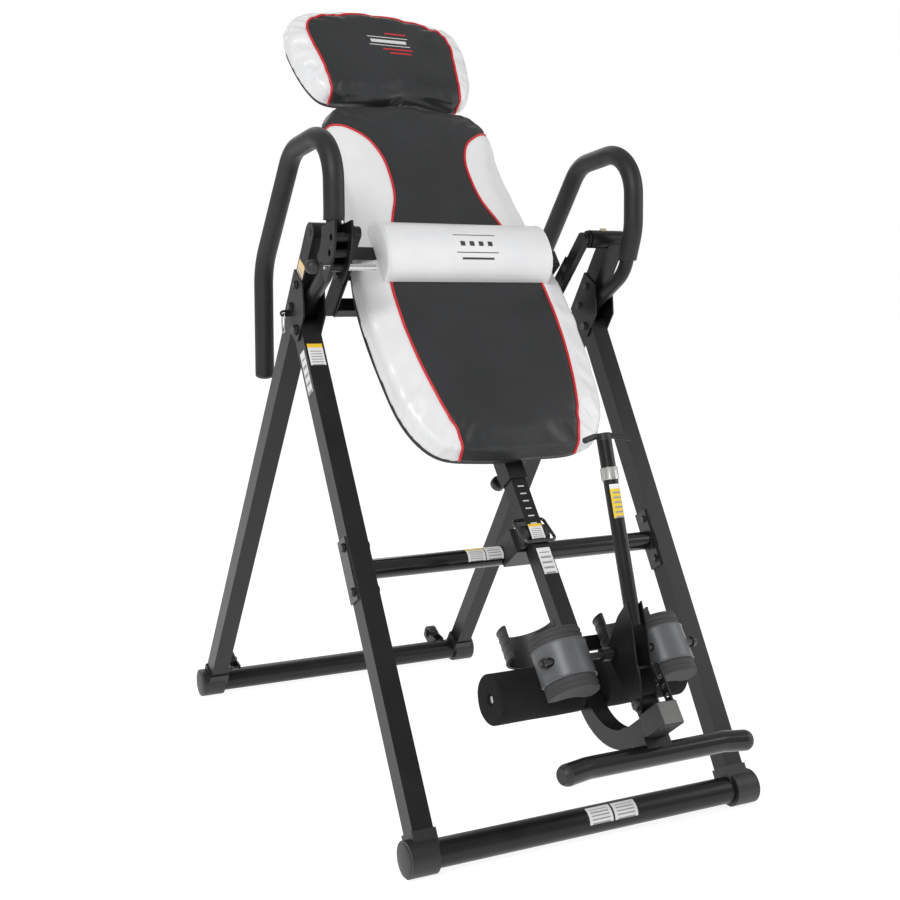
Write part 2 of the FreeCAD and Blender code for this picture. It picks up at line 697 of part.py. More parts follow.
def foot_bracket():
    """Saddle plate between the boom's foot and the foot bar."""
    top = BEND_Y - BEND_R - BOOM_HALF
    plate = box(-24, 24, FOOT_Y + 4, top, FOOT_Z - 20, BOOM_END_Z)
    plate = plate.fuse(box(-20, 20, FOOT_Y + 4, top + 28, BOOM_END_Z - 4, BOOM_END_Z).common(
        box(-20, 20, FOOT_Y, top, -60, 60)))
    return plate.cut(rod(FOOT_R, -40, 40, FOOT_Y, FOOT_Z))


def foot_path():
    drop = 5
    end = 172
    bend = 132
    pts = [V(-end, FOOT_Y - drop, FOOT_Z + 2), V(-bend, FOOT_Y, FOOT_Z), V(bend, FOOT_Y, FOOT_Z),
           V(end, FOOT_Y - drop, FOOT_Z + 2)]
    return bent_path(pts, [80, 80])


def foot_bar():
    edges = foot_path()
    return sweep(edges, FOOT_R).cut(sweep(edges, FOOT_R - WALL))


def foot_caps():
    """Domed plastic plugs in the ends of the foot bar."""
    edge = foot_path()[-1]
    tip = edge.valueAt(edge.LastParameter)
    along = edge.tangentAt(edge.LastParameter)
    plug = Part.makeCylinder(FOOT_R - WALL, 12, tip - along * 12, along)
    ball = Part.makeSphere(FOOT_R, tip)
    dome = ball.common(Part.makeCylinder(FOOT_R + 1, 12, tip, along))
    return group(both_sides(plug.fuse(dome)))


# ---------------------------------------------------------------- ankle supports
def roller_shaft():
    """Shaft through the boom, with a spacer against each side of it."""
    shaft = rod(SHAFT_R, -ROLLER_END + 5, ROLLER_END - 5, ROLLER_Y, BOOM_Z)
    spacer = tube(12, SHAFT_R, BOOM_HALF, BOOM_HALF + 5, ROLLER_Y, BOOM_Z)
    return group([shaft] + both_sides(spacer))


def roller():
    foam = tube(ROLLER_R, SHAFT_R + RUN, BOOM_HALF + 5.5, ROLLER_END, ROLLER_Y, BOOM_Z)
    rims = [e for e in foam.Edges if isinstance(e.Curve, Part.Circle) and e.Curve.Radius > 40]
    return foam.makeFillet(6, rims)


HEEL_Z = -116.0
HEEL_R = 52.0
HEEL_Y0 = -812.0
HEEL_Y1 = -754.0


def heel_cup():
    """Half-round shell behind an ankle, open towards the user."""
    outer = Part.makeCylinder(HEEL_R, HEEL_Y1 - HEEL_Y0, V(CUP_X, HEEL_Y0, HEEL_Z), Y_AXIS)
    inner = Part.makeCylinder(HEEL_R - 4, HEEL_Y1 - HEEL_Y0 + 2, V(CUP_X, HEEL_Y0 - 1, HEEL_Z), Y_AXIS)
    shell = outer.cut(inner)
    front = HEEL_Z + 12
    return shell.cut(box(CUP_X - 80, CUP_X + 80, HEEL_Y0 - 1, HEEL_Y1 + 1, front, front + 100))


def heel_bar():
    """Flat bar bolted across the back of the boom; it carries both heel cups."""
    y = (HEEL_Y0 + HEEL_Y1) / 2
    rear = BOOM_Z - BOOM_HALF - 5
    bar = box(-118, 118, y - 14, y + 14, rear, rear + 5)
    heads = [Part.makeCylinder(7, 4, V(x, y, rear - 4), Z_AXIS) for x in (-CUP_X, 0, CUP_X)]
    return fuse([bar] + heads)


CUP_Z = -45.0
CUP_R = 44.0
CUP_HALF = 53.0
BAND_HALF = 31.0


def cup_foam():
    """Ankle pad: round in front, hollowed behind for the shin, bored for the cross rod."""
    body = Part.makeCylinder(CUP_R, 2 * CUP_HALF, V(CUP_X, ROD_Y - CUP_HALF, CUP_Z), Y_AXIS)
    body = body.cut(box(CUP_X - 60, CUP_X + 60, ROD_Y - 60, ROD_Y + 60, CUP_Z - 60, CUP_Z - 16))
    body = body.cut(Part.makeCylinder(40, 120, V(CUP_X, ROD_Y - 60, CUP_Z - 47), Y_AXIS))
    return body.cut(rod(ROD_R + RUN, CUP_X - 60, CUP_X + 60, ROD_Y, ROD_Z))


def cup_shell():
    """Plastic band round the front of the ankle pad."""
    outer = Part.makeCylinder(CUP_R + 3, 2 * BAND_HALF, V(CUP_X, ROD_Y - BAND_HALF, CUP_Z), Y_AXIS)
    inner = Part.makeCylinder(CUP_R, 2 * BAND_HALF + 2, V(CUP_X, ROD_Y - BAND_HALF - 1, CUP_Z), Y_AXIS)
    band = outer.cut(inner)
    band = band.cut(box(CUP_X - 60, CUP_X + 60, ROD_Y - 60, ROD_Y + 60, CUP_Z - 60, CUP_Z - 14))
    return band.cut(rod(ROD_R + 2, CUP_X - 60, CUP_X + 60, ROD_Y, ROD_Z))


def ankle_rod():
    """Cross rod with the collars that keep each ankle pad in place."""
    outer = tube(9, ROD_R, CUP_X + CUP_R + 4, CUP_X + CUP_R + 10, ROD_Y, ROD_Z)
    inner = tube(11, ROD_R, 20.0, 38, ROD_Y, ROD_Z)
    return group([rod(ROD_R, -156, 156, ROD_Y, ROD_Z)] + both_sides(outer) + both_sides(inner))


# ---------------------------------------------------------------- ankle lever
LEVER_LEAN = 19.5          # lever tube leans towards the user from the boom's line
TUBE_Y0 = -838.0
TUBE_Z0 = 41.0
LEVER_TUBE_LEN = 306.0
LINK_Y = -903.0
LINK_Z = 20.0
LINK_LEN = 24.0


def lever_plates():
    """Two side plates from the pivot bolt past the cross rod to the lever tube."""
    outline = [(LEVER_Y - 6, LEVER_Z - 12), (ROD_Y - 10, ROD_Z - 13), (ROD_Y + 12, ROD_Z - 11),
               (TUBE_Y0 + 24, TUBE_Z0 - 14), (TUBE_Y0 + 32, TUBE_Z0 + 22), (TUBE_Y0 - 4, TUBE_Z0 + 14),
               (LINK_Y + 4, LINK_Z + 10), (LINK_Y - 12, LINK_Z + 8), (LEVER_Y - 6, LEVER_Z + 12)]
    plates = []
    for x0 in (-SIDE_IN - PLATE, SIDE_IN):
        plate = prism(outline, x0, x0 + PLATE)
        plate = plate.fuse(rod(13, x0, x0 + PLATE, LEVER_Y, LEVER_Z))
        plate = plate.cut(rod(5.0 + RUN, x0 - 1, x0 + 4, LEVER_Y, LEVER_Z))
        plate = plate.cut(rod(ROD_R, x0 - 1, x0 + 4, ROD_Y, ROD_Z))
        plates.append(plate.removeSplitter())
    spacer = rod(3.0, -SIDE_IN, SIDE_IN, LINK_Y, LINK_Z)
    stud = rod(3.0, SIDE_IN + PLATE, 19.6, LINK_Y, LINK_Z)
    return fuse(plates + [spacer, stud])


def along_lever(distance, offset=0.0):
    a = math.radians(LEVER_LEAN)
    return V(0, TUBE_Y0 + distance * math.cos(a) - offset * math.sin(a),
             TUBE_Z0 + distance * math.sin(a) + offset * math.cos(a))


def lever_direction():
    a = math.radians(LEVER_LEAN)
    return V(0, math.cos(a), math.sin(a))


def lever_tube():
    along = lever_direction()
    outer = Part.makeCylinder(12.5, LEVER_TUBE_LEN, along_lever(0), along)
    return outer.cut(Part.makeCylinder(10.5, LEVER_TUBE_LEN + 2, along_lever(-1), along))


def lever_collar():
    along = lever_direction()
    outer = Part.makeCylinder(14.5, 20, along_lever(LEVER_TUBE_LEN - 66), along)
    return outer.cut(Part.makeCylinder(12.5, 22, along_lever(LEVER_TUBE_LEN - 67), along))


def lever_grip():
    """Curved cross grip on a plug in the top of the lever tube."""
    along = lever_direction()
    plug = Part.makeCylinder(12.5, 12, along_lever(LEVER_TUBE_LEN), along)
    stem = Part.makeCylinder(10.5, 20, along_lever(LEVER_TUBE_LEN - 20), along)
    at = along_lever(LEVER_TUBE_LEN + 8)
    tip = along_lever(LEVER_TUBE_LEN, 12)
    pts = [V(-46, tip.y, tip.z), V(-18, at.y, at.z), V(18, at.y, at.z), V(46, tip.y, tip.z)]
    return fuse([plug, stem, sweep(bent_path(pts, [30, 30]), 5.0)])


STAY_Z = 30.0


def ratchet_stay():
    """Flat arm bolted to the side of the boom's end block, with a row of slots."""
    y0 = BEND_Y - BEND_R - 12
    stay = box(20, 23, y0, LINK_Y - 8, STAY_Z - 9, STAY_Z + 9)
    stay = stay.fuse(rod(9, 20, 23, LINK_Y - 8, STAY_Z))
    for k in range(3):
        stay = stay.cut(box(19, 24, LINK_Y - 26 - 16 * k, LINK_Y - 20 - 16 * k, STAY_Z - 5, STAY_Z + 5))
    return stay


def ratchet_link():
    """Slotted link on the side of the lever plate."""
    far = LINK_Y - LINK_LEN
    link = box(16.2, 19.2, far, LINK_Y, LINK_Z - 8, LINK_Z + 8)
    link = fuse([link, rod(8, 16.2, 19.2, LINK_Y, LINK_Z), rod(8, 16.2, 19.2, far, LINK_Z)])
    link = link.cut(rod(3.0 + RUN, 15, 21, LINK_Y, LINK_Z))
    return link.cut(box(15, 21, far - 3, LINK_Y - 8, LINK_Z - 3, LINK_Z + 3))


# ---------------------------------------------------------------- wire bail round the boom
BAIL_PIVOT_Y = -538.0
BAIL_Y = -592.0
BAIL_R = 3.0


def wire_bail():
    """U of wire hinged on the sides of the boom that hooks round its front, over the saddle."""
    side = BOOM_HALF + 16
    front = BOOM_Z + BOOM_HALF + BAIL_R + 1
    inner = BOOM_HALF + 0.3
    pts = [V(-inner, BAIL_PIVOT_Y, BOOM_Z), V(-side, BAIL_PIVOT_Y, BOOM_Z), V(-side, BAIL_Y, front),
           V(side, BAIL_Y, front), V(side, BAIL_PIVOT_Y, BOOM_Z), V(inner, BAIL_PIVOT_Y, BOOM_Z)]
    return sweep(bent_path(pts, [7, 10, 10, 7]), BAIL_R)


def build():
    pairs = [
        ("rear_leg", rear_leg(), REAR), ("handlebar", handlebar(), None),
        ("front_leg", front_leg(), FRONT), ("transport_wheel", wheel(), None),
        ("roller", roller(), TABLE), ("ankle_pad", cup_foam(), TABLE), ("ankle_pad_band", cup_shell(), TABLE),
    ]
    for name, shape, frame in pairs:
        right, left = both_sides(shape)
        add(name + "_left", left, frame)
        add(name + "_right", right, frame)

    add("handle_grip_left", grip(2, GRIP_FRONT_LEFT).mirror(V(0, 0, 0), X_AXIS))
    add("handle_grip_right", grip(2, GRIP_FRONT_RIGHT))

    stand = [
        ("rear_base_tube", rear_base(), None), ("front_base_tube", base_tube(-BASE_HALF), None),
        ("rear_base_caps", base_caps(REAR), None),
        ("front_base_caps", base_caps(FRONT), None),
        ("leg_heads", leg_heads(), REAR), ("rear_frame_bolts", rear_frame_bolts(), REAR),
        ("hairpin_clip", hairpin(), None),
        ("pivot_housings", group(both_sides(housing())), None), ("pivot_bushes", bushes(), None),
        ("housing_caps", housing_caps(), None), ("selector_plates", selector_plates(), None),
        ("angle_pin", angle_pin(), None), ("angle_pin_knob", angle_knob(), None),
        ("crossbar", crossbar(), FRONT), ("crossbar_bolts", crossbar_bolts(), FRONT),
        ("boom_saddle", boom_saddle(), TABLE),
    ]
    for name, shape, frame in stand:
        add(name, shape, frame)

    table = [
        ("spine_tube", spine()), ("cross_beam", cross_beam()), ("pivot_arms", group(both_sides(pivot_arm()))),
        ("table_bolts", table_bolts()), ("height_pin", height_pin()),
        ("backboard", slab(pad_outline(), 8, BOARD_BACK, PAD_BACK)),
        ("backrest_pad", slab(pad_outline(), 0, PAD_BACK, PAD_FRONT)),
        ("lumbar_pad", lumbar_pad()), ("lumbar_strap", lumbar_strap()),
        ("head_post", head_post()),
        ("head_board", slab(head_outline(), 8, BOARD_BACK, HEAD_BACK)),
        ("headrest_pad", slab(head_outline(), 0, HEAD_BACK, HEAD_FRONT)),
        ("boom_tube", boom()), ("boom_end_block", boom_end_block()), ("lever_bolt", lever_bolt()),
        ("foot_bar", foot_bar()), ("foot_bar_caps", foot_caps()), ("roller_shaft", roller_shaft()),
        ("heel_bar", heel_bar()), ("heel_cups", group(both_sides(heel_cup()))),
        ("ankle_rod", ankle_rod()), ("lever_plates", lever_plates()), ("lever_tube", lever_tube()),
        ("lever_collar", lever_collar()), ("lever_grip", lever_grip()),
        ("ratchet_stay", ratchet_stay()), ("ratchet_link", ratchet_link()), ("wire_bail", wire_bail()),
    ]
    for name, shape in table:
        add(name, shape, TABLE)


build()
for node, shape in NODES.items():
    shape.exportStep("parts/" + node + ".step")
    print(node, len(shape.Solids), shape.isValid(), round(shape.Volume / 1000, 1))
print(len(NODES), "nodes")
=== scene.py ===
# %% [markdown]
# # An inversion table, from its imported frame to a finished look
# The steel frame, its joints and every size come ready made as a fixed frame. This lesson adds what a
# maker would call the finish: the sewn pads, the foam, the stickers, the weld beads and every material.
# Each step says what the real thing is, how it could be made here, and why this way was chosen.

# %% Load the frame
import json
import math

import bmesh
import bpy
import numpy as np
from mathutils import Matrix, Vector
from mathutils.bvhtree import BVHTree


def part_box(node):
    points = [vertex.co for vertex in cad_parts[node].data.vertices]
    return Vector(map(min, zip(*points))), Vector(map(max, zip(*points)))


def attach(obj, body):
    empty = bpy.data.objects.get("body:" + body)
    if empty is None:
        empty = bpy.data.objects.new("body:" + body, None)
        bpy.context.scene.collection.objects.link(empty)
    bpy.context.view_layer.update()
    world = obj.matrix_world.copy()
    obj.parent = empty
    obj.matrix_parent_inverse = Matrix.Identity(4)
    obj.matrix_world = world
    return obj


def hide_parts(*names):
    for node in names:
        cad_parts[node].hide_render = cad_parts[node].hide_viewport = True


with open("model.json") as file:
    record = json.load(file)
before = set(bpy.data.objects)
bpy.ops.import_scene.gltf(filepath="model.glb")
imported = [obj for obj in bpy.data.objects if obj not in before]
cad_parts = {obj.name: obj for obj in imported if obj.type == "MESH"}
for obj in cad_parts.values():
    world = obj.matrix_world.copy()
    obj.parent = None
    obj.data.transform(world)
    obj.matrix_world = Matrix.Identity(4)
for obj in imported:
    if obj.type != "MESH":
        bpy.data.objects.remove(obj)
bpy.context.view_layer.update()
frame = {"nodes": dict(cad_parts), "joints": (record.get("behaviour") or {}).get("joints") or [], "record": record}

MM = 0.001

# %% [markdown]
# ## Directions of the tilting table
# The pads lie on a table that leans back. It is easiest to shape them lying flat, in a frame of their
# own: x across the user, y towards the head and z out of the pad. The joints already hold these
# directions, so they are read from there and never measured again.

# %% The table's own frame
JOINTS = {joint["name"]: joint for joint in frame["joints"]}
PIVOT = Vector(JOINTS["table_tilt"]["pos_m"])
ACROSS = Vector((1, 0, 0))
TO_HEAD = -Vector(JOINTS["boom_slide"]["axis"])
TO_USER = -Vector(JOINTS["height_pin_pull"]["axis"])
TABLE = Matrix((ACROSS, TO_HEAD, TO_USER)).transposed().to_4x4()
TABLE.translation = PIVOT


def at_table(x, y, z):
    """A point of the table's frame, in millimetres, as a place in the room."""
    return TABLE @ (Vector((x, y, z)) * MM)


print("table leans", round(math.degrees(math.atan2(TO_HEAD.z, TO_HEAD.y)), 1), "degrees")

# %% [markdown]
# ## Small helpers
# Operators act on whatever is selected, and loading leaves every node selected. So each step starts by
# choosing exactly one object. A finished piece keeps its place in its mesh and stays unturned at the
# origin, like the steel parts, because patterns are laid out in object coordinates.

# %% Helpers
def choose(obj):
    """Make one object the only selected and active one."""
    if bpy.context.object and bpy.context.object.mode != "OBJECT":
        bpy.ops.object.mode_set(mode="OBJECT")
    bpy.ops.object.select_all(action="DESELECT")
    obj.select_set(True)
    bpy.context.view_layer.objects.active = obj


def settle(obj):
    """Put the object's place, turn and scale into its mesh."""
    choose(obj)
    bpy.ops.object.transform_apply(location=True, rotation=True, scale=True)


def apply_modifier(obj, kind, **settings):
    """Add one modifier, set it and apply it at once."""
    choose(obj)
    modifier = obj.modifiers.new(kind.lower(), kind)
    for key, value in settings.items():
        setattr(modifier, key, value)
    bpy.ops.object.modifier_apply(modifier=modifier.name)


def bevel(obj, width, segments):
    """Round the sharp edges."""
    apply_modifier(obj, "BEVEL", width=width, segments=segments, limit_method="ANGLE",
                   angle_limit=math.radians(60))


def points_of(obj):
    """The object's vertices as an array."""
    flat = np.empty(len(obj.data.vertices) * 3)
    obj.data.vertices.foreach_get("co", flat)
    return flat.reshape(-1, 3)


def set_points(obj, points):
    obj.data.vertices.foreach_set("co", np.asarray(points, float).ravel())
    obj.data.update()


def copy_node(node, name):
    """A merged copy of a steel or foam node's mesh, as a new object."""
    copy = bpy.data.objects.new(name, frame["nodes"][node].data.copy())
    bpy.context.scene.collection.objects.link(copy)
    copy.data.materials.clear()
    choose(copy)
    bpy.ops.object.mode_set(mode="EDIT")
    bpy.ops.mesh.select_all(action="SELECT")
    bpy.ops.mesh.remove_doubles(threshold=1e-5)
    bpy.ops.object.mode_set(mode="OBJECT")
    return copy


def dress(piece, material, body, slot, *nodes):
    """Give a piece its material and its body, and hide the nodes that it stands for. The slot is not used."""
    piece.data.materials.clear()
    piece.data.materials.append(material)
    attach(piece, body)
    if nodes:
        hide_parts(*nodes)


# %% [markdown]
# ## Materials: one way of building them
# A real surface is never one flat colour. Each finish here has a slow change of colour, a change of
# gloss, and a fine relief. All three come from noise laid out in object coordinates, so the pattern
# stays on the part when the part moves. One helper makes all three, and each finish is a few numbers.

# %% The common builder
def finish(name, dark, light, gloss, grain, relief,
           metal=0.0, coat=0.0, patch=14.0, cells=False, specular=0.5):
    """A material whose colour wanders from dark to light, roughness over gloss, with fine relief."""
    made = bpy.data.materials.new(name)
    made.use_nodes = True
    nodes = made.node_tree.nodes
    links = made.node_tree.links
    shader = nodes["Principled BSDF"]
    shader.inputs["Metallic"].default_value = metal
    shader.inputs["Coat Weight"].default_value = coat
    shader.inputs["Specular IOR Level"].default_value = specular
    place = nodes.new("ShaderNodeTexCoord")
    cloud = nodes.new("ShaderNodeTexNoise")
    cloud.inputs["Scale"].default_value = patch
    cloud.inputs["Detail"].default_value = 5.0
    links.new(place.outputs["Object"], cloud.inputs["Vector"])
    ramp = nodes.new("ShaderNodeValToRGB")
    ramp.color_ramp.elements[0].position = 0.3
    ramp.color_ramp.elements[1].position = 0.7
    ramp.color_ramp.elements[0].color = (*dark, 1)
    ramp.color_ramp.elements[1].color = (*light, 1)
    links.new(cloud.outputs["Fac"], ramp.inputs["Fac"])
    links.new(ramp.outputs["Color"], shader.inputs["Base Color"])
    sheen = nodes.new("ShaderNodeMapRange")
    sheen.inputs["To Min"].default_value = gloss[0]
    sheen.inputs["To Max"].default_value = gloss[1]
    links.new(cloud.outputs["Fac"], sheen.inputs["Value"])
    links.new(sheen.outputs["Result"], shader.inputs["Roughness"])
    if cells:
        fine = nodes.new("ShaderNodeTexVoronoi")
        height = fine.outputs["Distance"]
    else:
        fine = nodes.new("ShaderNodeTexNoise")
        fine.inputs["Detail"].default_value = 3.0
        height = fine.outputs["Fac"]
    fine.inputs["Scale"].default_value = grain
    links.new(place.outputs["Object"], fine.inputs["Vector"])
    bump = nodes.new("ShaderNodeBump")
    bump.inputs["Strength"].default_value = relief
    bump.inputs["Distance"].default_value = 0.0006
    links.new(height, bump.inputs["Height"])
    links.new(bump.outputs["Normal"], shader.inputs["Normal"])
    return made


# %% [markdown]
# ## Steel, plastic and foam
# The frame is powder coated: dark, satin, with a very fine orange-peel relief. The crossbar and the
# foot bar have a glossier coat. Bolts are zinc plated, the long selector pin is chrome. Moulded plastic
# has a spark-eroded grain, and foam has tiny open cells.

# %% Finishes of the frame
BLACK_STEEL = finish("powder_coat", (0.006,) * 3, (0.011,) * 3, (0.26, 0.36), 900, 0.16, specular=0.36)
GLOSS_STEEL = finish("gloss_coat", (0.005,) * 3, (0.009,) * 3, (0.16, 0.24), 700, 0.08, coat=0.3,
                     specular=0.4)
ZINC = finish("zinc_plate", (0.45, 0.45, 0.44), (0.62, 0.62, 0.60), (0.24, 0.38), 1200, 0.15, metal=1.0)
DARK_ZINC = finish("black_zinc", (0.06,) * 3, (0.11,) * 3, (0.25, 0.38), 1200, 0.12, metal=0.85)
CHROME = finish("chrome_plate", (0.72, 0.72, 0.73), (0.80, 0.80, 0.81), (0.05, 0.10), 600, 0.04, metal=1.0)
BLACK_PLASTIC = finish("moulded_black", (0.014, 0.014, 0.015), (0.024, 0.024, 0.025), (0.38, 0.5),
                       1500, 0.3)
GREY_PLASTIC = finish("moulded_grey", (0.098, 0.102, 0.108), (0.12, 0.125, 0.13), (0.30, 0.40), 1500, 0.2)
LIGHT_PLASTIC = finish("moulded_light_grey", (0.12, 0.12, 0.115), (0.16, 0.16, 0.15), (0.4, 0.5),
                       1500, 0.25)
GRIP_FOAM = finish("grip_foam", (0.010,) * 3, (0.018,) * 3, (0.42, 0.52), 1100, 0.22, cells=True,
                   specular=0.4)
ROLLER_FOAM = finish("roller_foam", (0.010,) * 3, (0.019,) * 3, (0.85, 0.95), 650, 0.9, cells=True,
                     specular=0.2)
ANKLE_FOAM = finish("ankle_foam", (0.040, 0.040, 0.043), (0.055, 0.055, 0.058), (0.6, 0.72), 800, 0.5,
                    cells=True)
BOARD_PAINT = finish("painted_board", (0.012, 0.012, 0.014), (0.022, 0.022, 0.026), (0.5, 0.65), 320, 0.4)
PIPING_VINYL = finish("red_piping", (0.55, 0.012, 0.016), (0.66, 0.022, 0.026), (0.34, 0.44), 1400, 0.3)
WHITE_VINYL = finish("white_vinyl", (0.76, 0.765, 0.775), (0.82, 0.82, 0.825), (0.26, 0.34), 1500, 0.18)
WEBBING = finish("elastic_webbing", (0.012, 0.012, 0.014), (0.03, 0.03, 0.034), (0.7, 0.85), 900, 0.8)
print(len(bpy.data.materials), "materials")

# %% Give every node its finish
FINISH_OF_SLOT = {
    "black_steel": BLACK_STEEL, "gloss_steel": GLOSS_STEEL, "zinc": DARK_ZINC, "chrome": CHROME,
    "black_plastic": BLACK_PLASTIC, "grey_plastic": GREY_PLASTIC, "light_plastic": LIGHT_PLASTIC,
    "grip_foam": GRIP_FOAM, "roller_foam": ROLLER_FOAM, "ankle_foam": ANKLE_FOAM,
    "vinyl": WHITE_VINYL, "white_vinyl": WHITE_VINYL, "board": BOARD_PAINT, "webbing": WEBBING,
}
BRIGHT_NODES = ("lever_collar", "hairpin_clip", "roller_shaft")
for part in frame["record"]["subparts"]:
    node = frame["nodes"][part["node"]]
    node.data.materials.clear()
    bright = part["node"] in BRIGHT_NODES
    node.data.materials.append(ZINC if bright else FINISH_OF_SLOT[part["material_slot"]])
print("dressed", len(frame["nodes"]), "nodes")

# %% [markdown]
# ## The pads: foam under a stretched vinyl cover
# The backrest is a plywood board with foam on it and a sewn vinyl cover pulled round both. The foam
# rounds over at the rim and crowns a little in the middle. A subdivided box could be pushed into that
# shape, but the cover's tension is what makes it look real. So a copy of the plain pad is remeshed into
# even cells, its front is smoothed over, and a cloth simulation with pressure inside swells it.

# %% The swelling of a pad
def swell(pad, held, pressure, most):
    """Blow the pad up as cloth with its back pinned, moving no point further than most."""
    before = points_of(pad)
    pins = pad.vertex_groups.new(name="pins")
    back = before[:, 2].min()
    for index in np.nonzero(before[:, 2] < back + held)[0]:
        pins.add([int(index)], 1.0, "REPLACE")
    cloth = pad.modifiers.new("cloth", "CLOTH")
    cloth.settings.vertex_group_mass = "pins"
    cloth.settings.use_pressure = True
    cloth.settings.uniform_pressure_force = pressure
    cloth.settings.effector_weights.gravity = 0
    cloth.settings.tension_stiffness = 30
    cloth.settings.compression_stiffness = 30
    cloth.settings.bending_stiffness = 2.0
    cloth.collision_settings.use_collision = False
    scene = bpy.context.scene
    for step in range(1, 21):
        scene.frame_set(step)
    evaluated = pad.evaluated_get(bpy.context.evaluated_depsgraph_get())
    flat = np.empty(len(pad.data.vertices) * 3)
    evaluated.data.vertices.foreach_get("co", flat)
    move = flat.reshape(-1, 3) - before
    pad.modifiers.clear()
    scene.frame_set(1)
    length = np.linalg.norm(move, axis=1, keepdims=True)
    move *= most * np.tanh(length / most) / np.maximum(length, 1e-9)
    set_points(pad, before + move)
    pad.vertex_groups.clear()
    print(pad.name, "swelled by up to", round(float(np.linalg.norm(move, axis=1).max()) * 1000, 1), "mm")


def foam_block(node, name, voxel, rounds, slim=1.0):
    """A remeshed copy of a plain pad, flat in the table's frame, rounded over at its front rim."""
    pad = copy_node(node, name)
    pad.data.transform(TABLE.inverted())
    apply_modifier(pad, "REMESH", mode="VOXEL", voxel_size=voxel)
    shape = points_of(pad)
    low, high = shape[:, 2].min(), shape[:, 2].max()
    front = pad.vertex_groups.new(name="front")
    for index, height in enumerate((shape[:, 2] - low) / (high - low)):
        front.add([index], float(min(1.0, height * 1.6)), "REPLACE")
    apply_modifier(pad, "SMOOTH", factor=0.5, iterations=rounds, vertex_group="front")
    pad.vertex_groups.clear()
    shape = points_of(pad)
    shape[:, 2] = low + (shape[:, 2] - low) * slim
    set_points(pad, shape)
    return pad


# %% [markdown]
# ## Panels and piping
# The cover is sewn from a black centre panel and white sides, with a red piping in the seam. The seam
# line is drawn once, as a smooth curve through a few points. Every point of the pad then gets its
# distance to that line as an attribute. The material turns black inside and white outside it, the pad
# is drawn in a little along it as a sewn seam is, and the piping follows it.

# %% Seam lines
def smooth_line(knots, count=160):
    """Points along a smooth open curve through the knots, in the pad's x and y."""
    knots = np.array(knots, float)
    reach = np.concatenate([[0], np.cumsum(np.linalg.norm(np.diff(knots, axis=0), axis=1))])
    places = np.linspace(0, reach[-1], count)
    slopes = np.gradient(knots, reach, axis=0)
    out = []
    for place in places:
        k = min(int(np.searchsorted(reach, place, side="right")) - 1, len(knots) - 2)
        span = reach[k + 1] - reach[k]
        t = (place - reach[k]) / span
        out.append(knots[k] * (1 + 2 * t) * (1 - t) ** 2 + knots[k + 1] * t * t * (3 - 2 * t)
                   + slopes[k] * span * t * (1 - t) ** 2 - slopes[k + 1] * span * t * t * (1 - t))
    return np.array(out) * MM


def side_of_line(points, line):
    """Distance of each (x, y) from a closed line, positive inside it."""
    closed = np.vstack([line, line[:1]])
    start, step = closed[:-1], np.diff(closed, axis=0)
    nearest = np.full(len(points), 1e9)
    inside = np.zeros(len(points), bool)
    for a, d in zip(start, step):
        t = np.clip(((points - a) @ d) / max(d @ d, 1e-12), 0, 1)
        nearest = np.minimum(nearest, np.linalg.norm(points - a - t[:, None] * d, axis=1))
        crosses = (a[1] > points[:, 1]) != (a[1] + d[1] > points[:, 1])
        with np.errstate(divide="ignore", invalid="ignore"):
            meet = a[0] + d[0] * (points[:, 1] - a[1]) / d[1]
        inside ^= crosses & (points[:, 0] < meet)
    return np.where(inside, nearest, -nearest)


def draw_in(pad, across, depth, width):
    """Pull the pad's face in along the zero of a distance, as stitching does."""
    shape = points_of(pad)
    normals = np.empty(len(shape) * 3)
    pad.data.vertices.foreach_get("normal", normals)
    pull = depth * np.exp(-(across / width) ** 2)
    set_points(pad, shape - normals.reshape(-1, 3) * pull[:, None])


def keep_distance(pad, name, values):
    """Store one number for each vertex, for the material to read."""
    attribute = pad.data.attributes.new(name, "FLOAT", "POINT")
    attribute.data.foreach_set("value", np.asarray(values, np.float32))


# %% [markdown]
# ## The piping itself
# Piping is a thin cord wrapped in vinyl and caught in the seam. It is a round tube that follows the
# seam on the swollen surface. The line is dropped onto the pad, and past the rim it is carried down
# the side to the board, where the real cover is stapled.

# %% Cord along a line
def round_cord(name, path, radius):
    """A round tube along points in the table's frame, as a mesh."""
    curve = bpy.data.curves.new(name, "CURVE")
    curve.dimensions = "3D"
    curve.bevel_depth = radius
    curve.bevel_resolution = 3
    curve.use_fill_caps = True
    spline = curve.splines.new("NURBS")
    spline.points.add(len(path) - 1)
    for point, place in zip(spline.points, path):
        point.co = (*place, 1)
    spline.order_u = 3
    spline.use_endpoint_u = True
    cord = bpy.data.objects.new(name, curve)
    bpy.context.scene.collection.objects.link(cord)
    choose(cord)
    bpy.ops.object.convert(target="MESH")
    return bpy.context.object


def skin_of(obj):
    """A search tree of the object's surface."""
    made = bmesh.new()
    made.from_mesh(obj.data)
    tree = BVHTree.FromBMesh(made)
    made.free()
    return tree


def on_face(tree, line, lift, above=0.05):
    """Drop (x, y) points onto the pad's front, a little proud of it; points off the pad are left out."""
    out = []
    for x, y in line:
        hit, normal, _, _ = tree.ray_cast(Vector((x, y, above)), Vector((0, 0, -1)))
        if hit is not None and normal.z > 0.3:
            out.append(hit + normal * lift)
    return out


def down_side(tree, start, outward, bottom, lift, steps=7):
    """Carry a cord from the last point on the face over the rim and down the side."""
    out = []
    for k in range(1, steps + 1):
        z = start.z + (bottom - start.z) * k / steps
        from_far = Vector((start.x, start.y, z)) + outward * 0.08
        hit, normal, _, _ = tree.ray_cast(from_far, -outward)
        if hit is not None:
            out.append(hit + normal * lift)
    return out


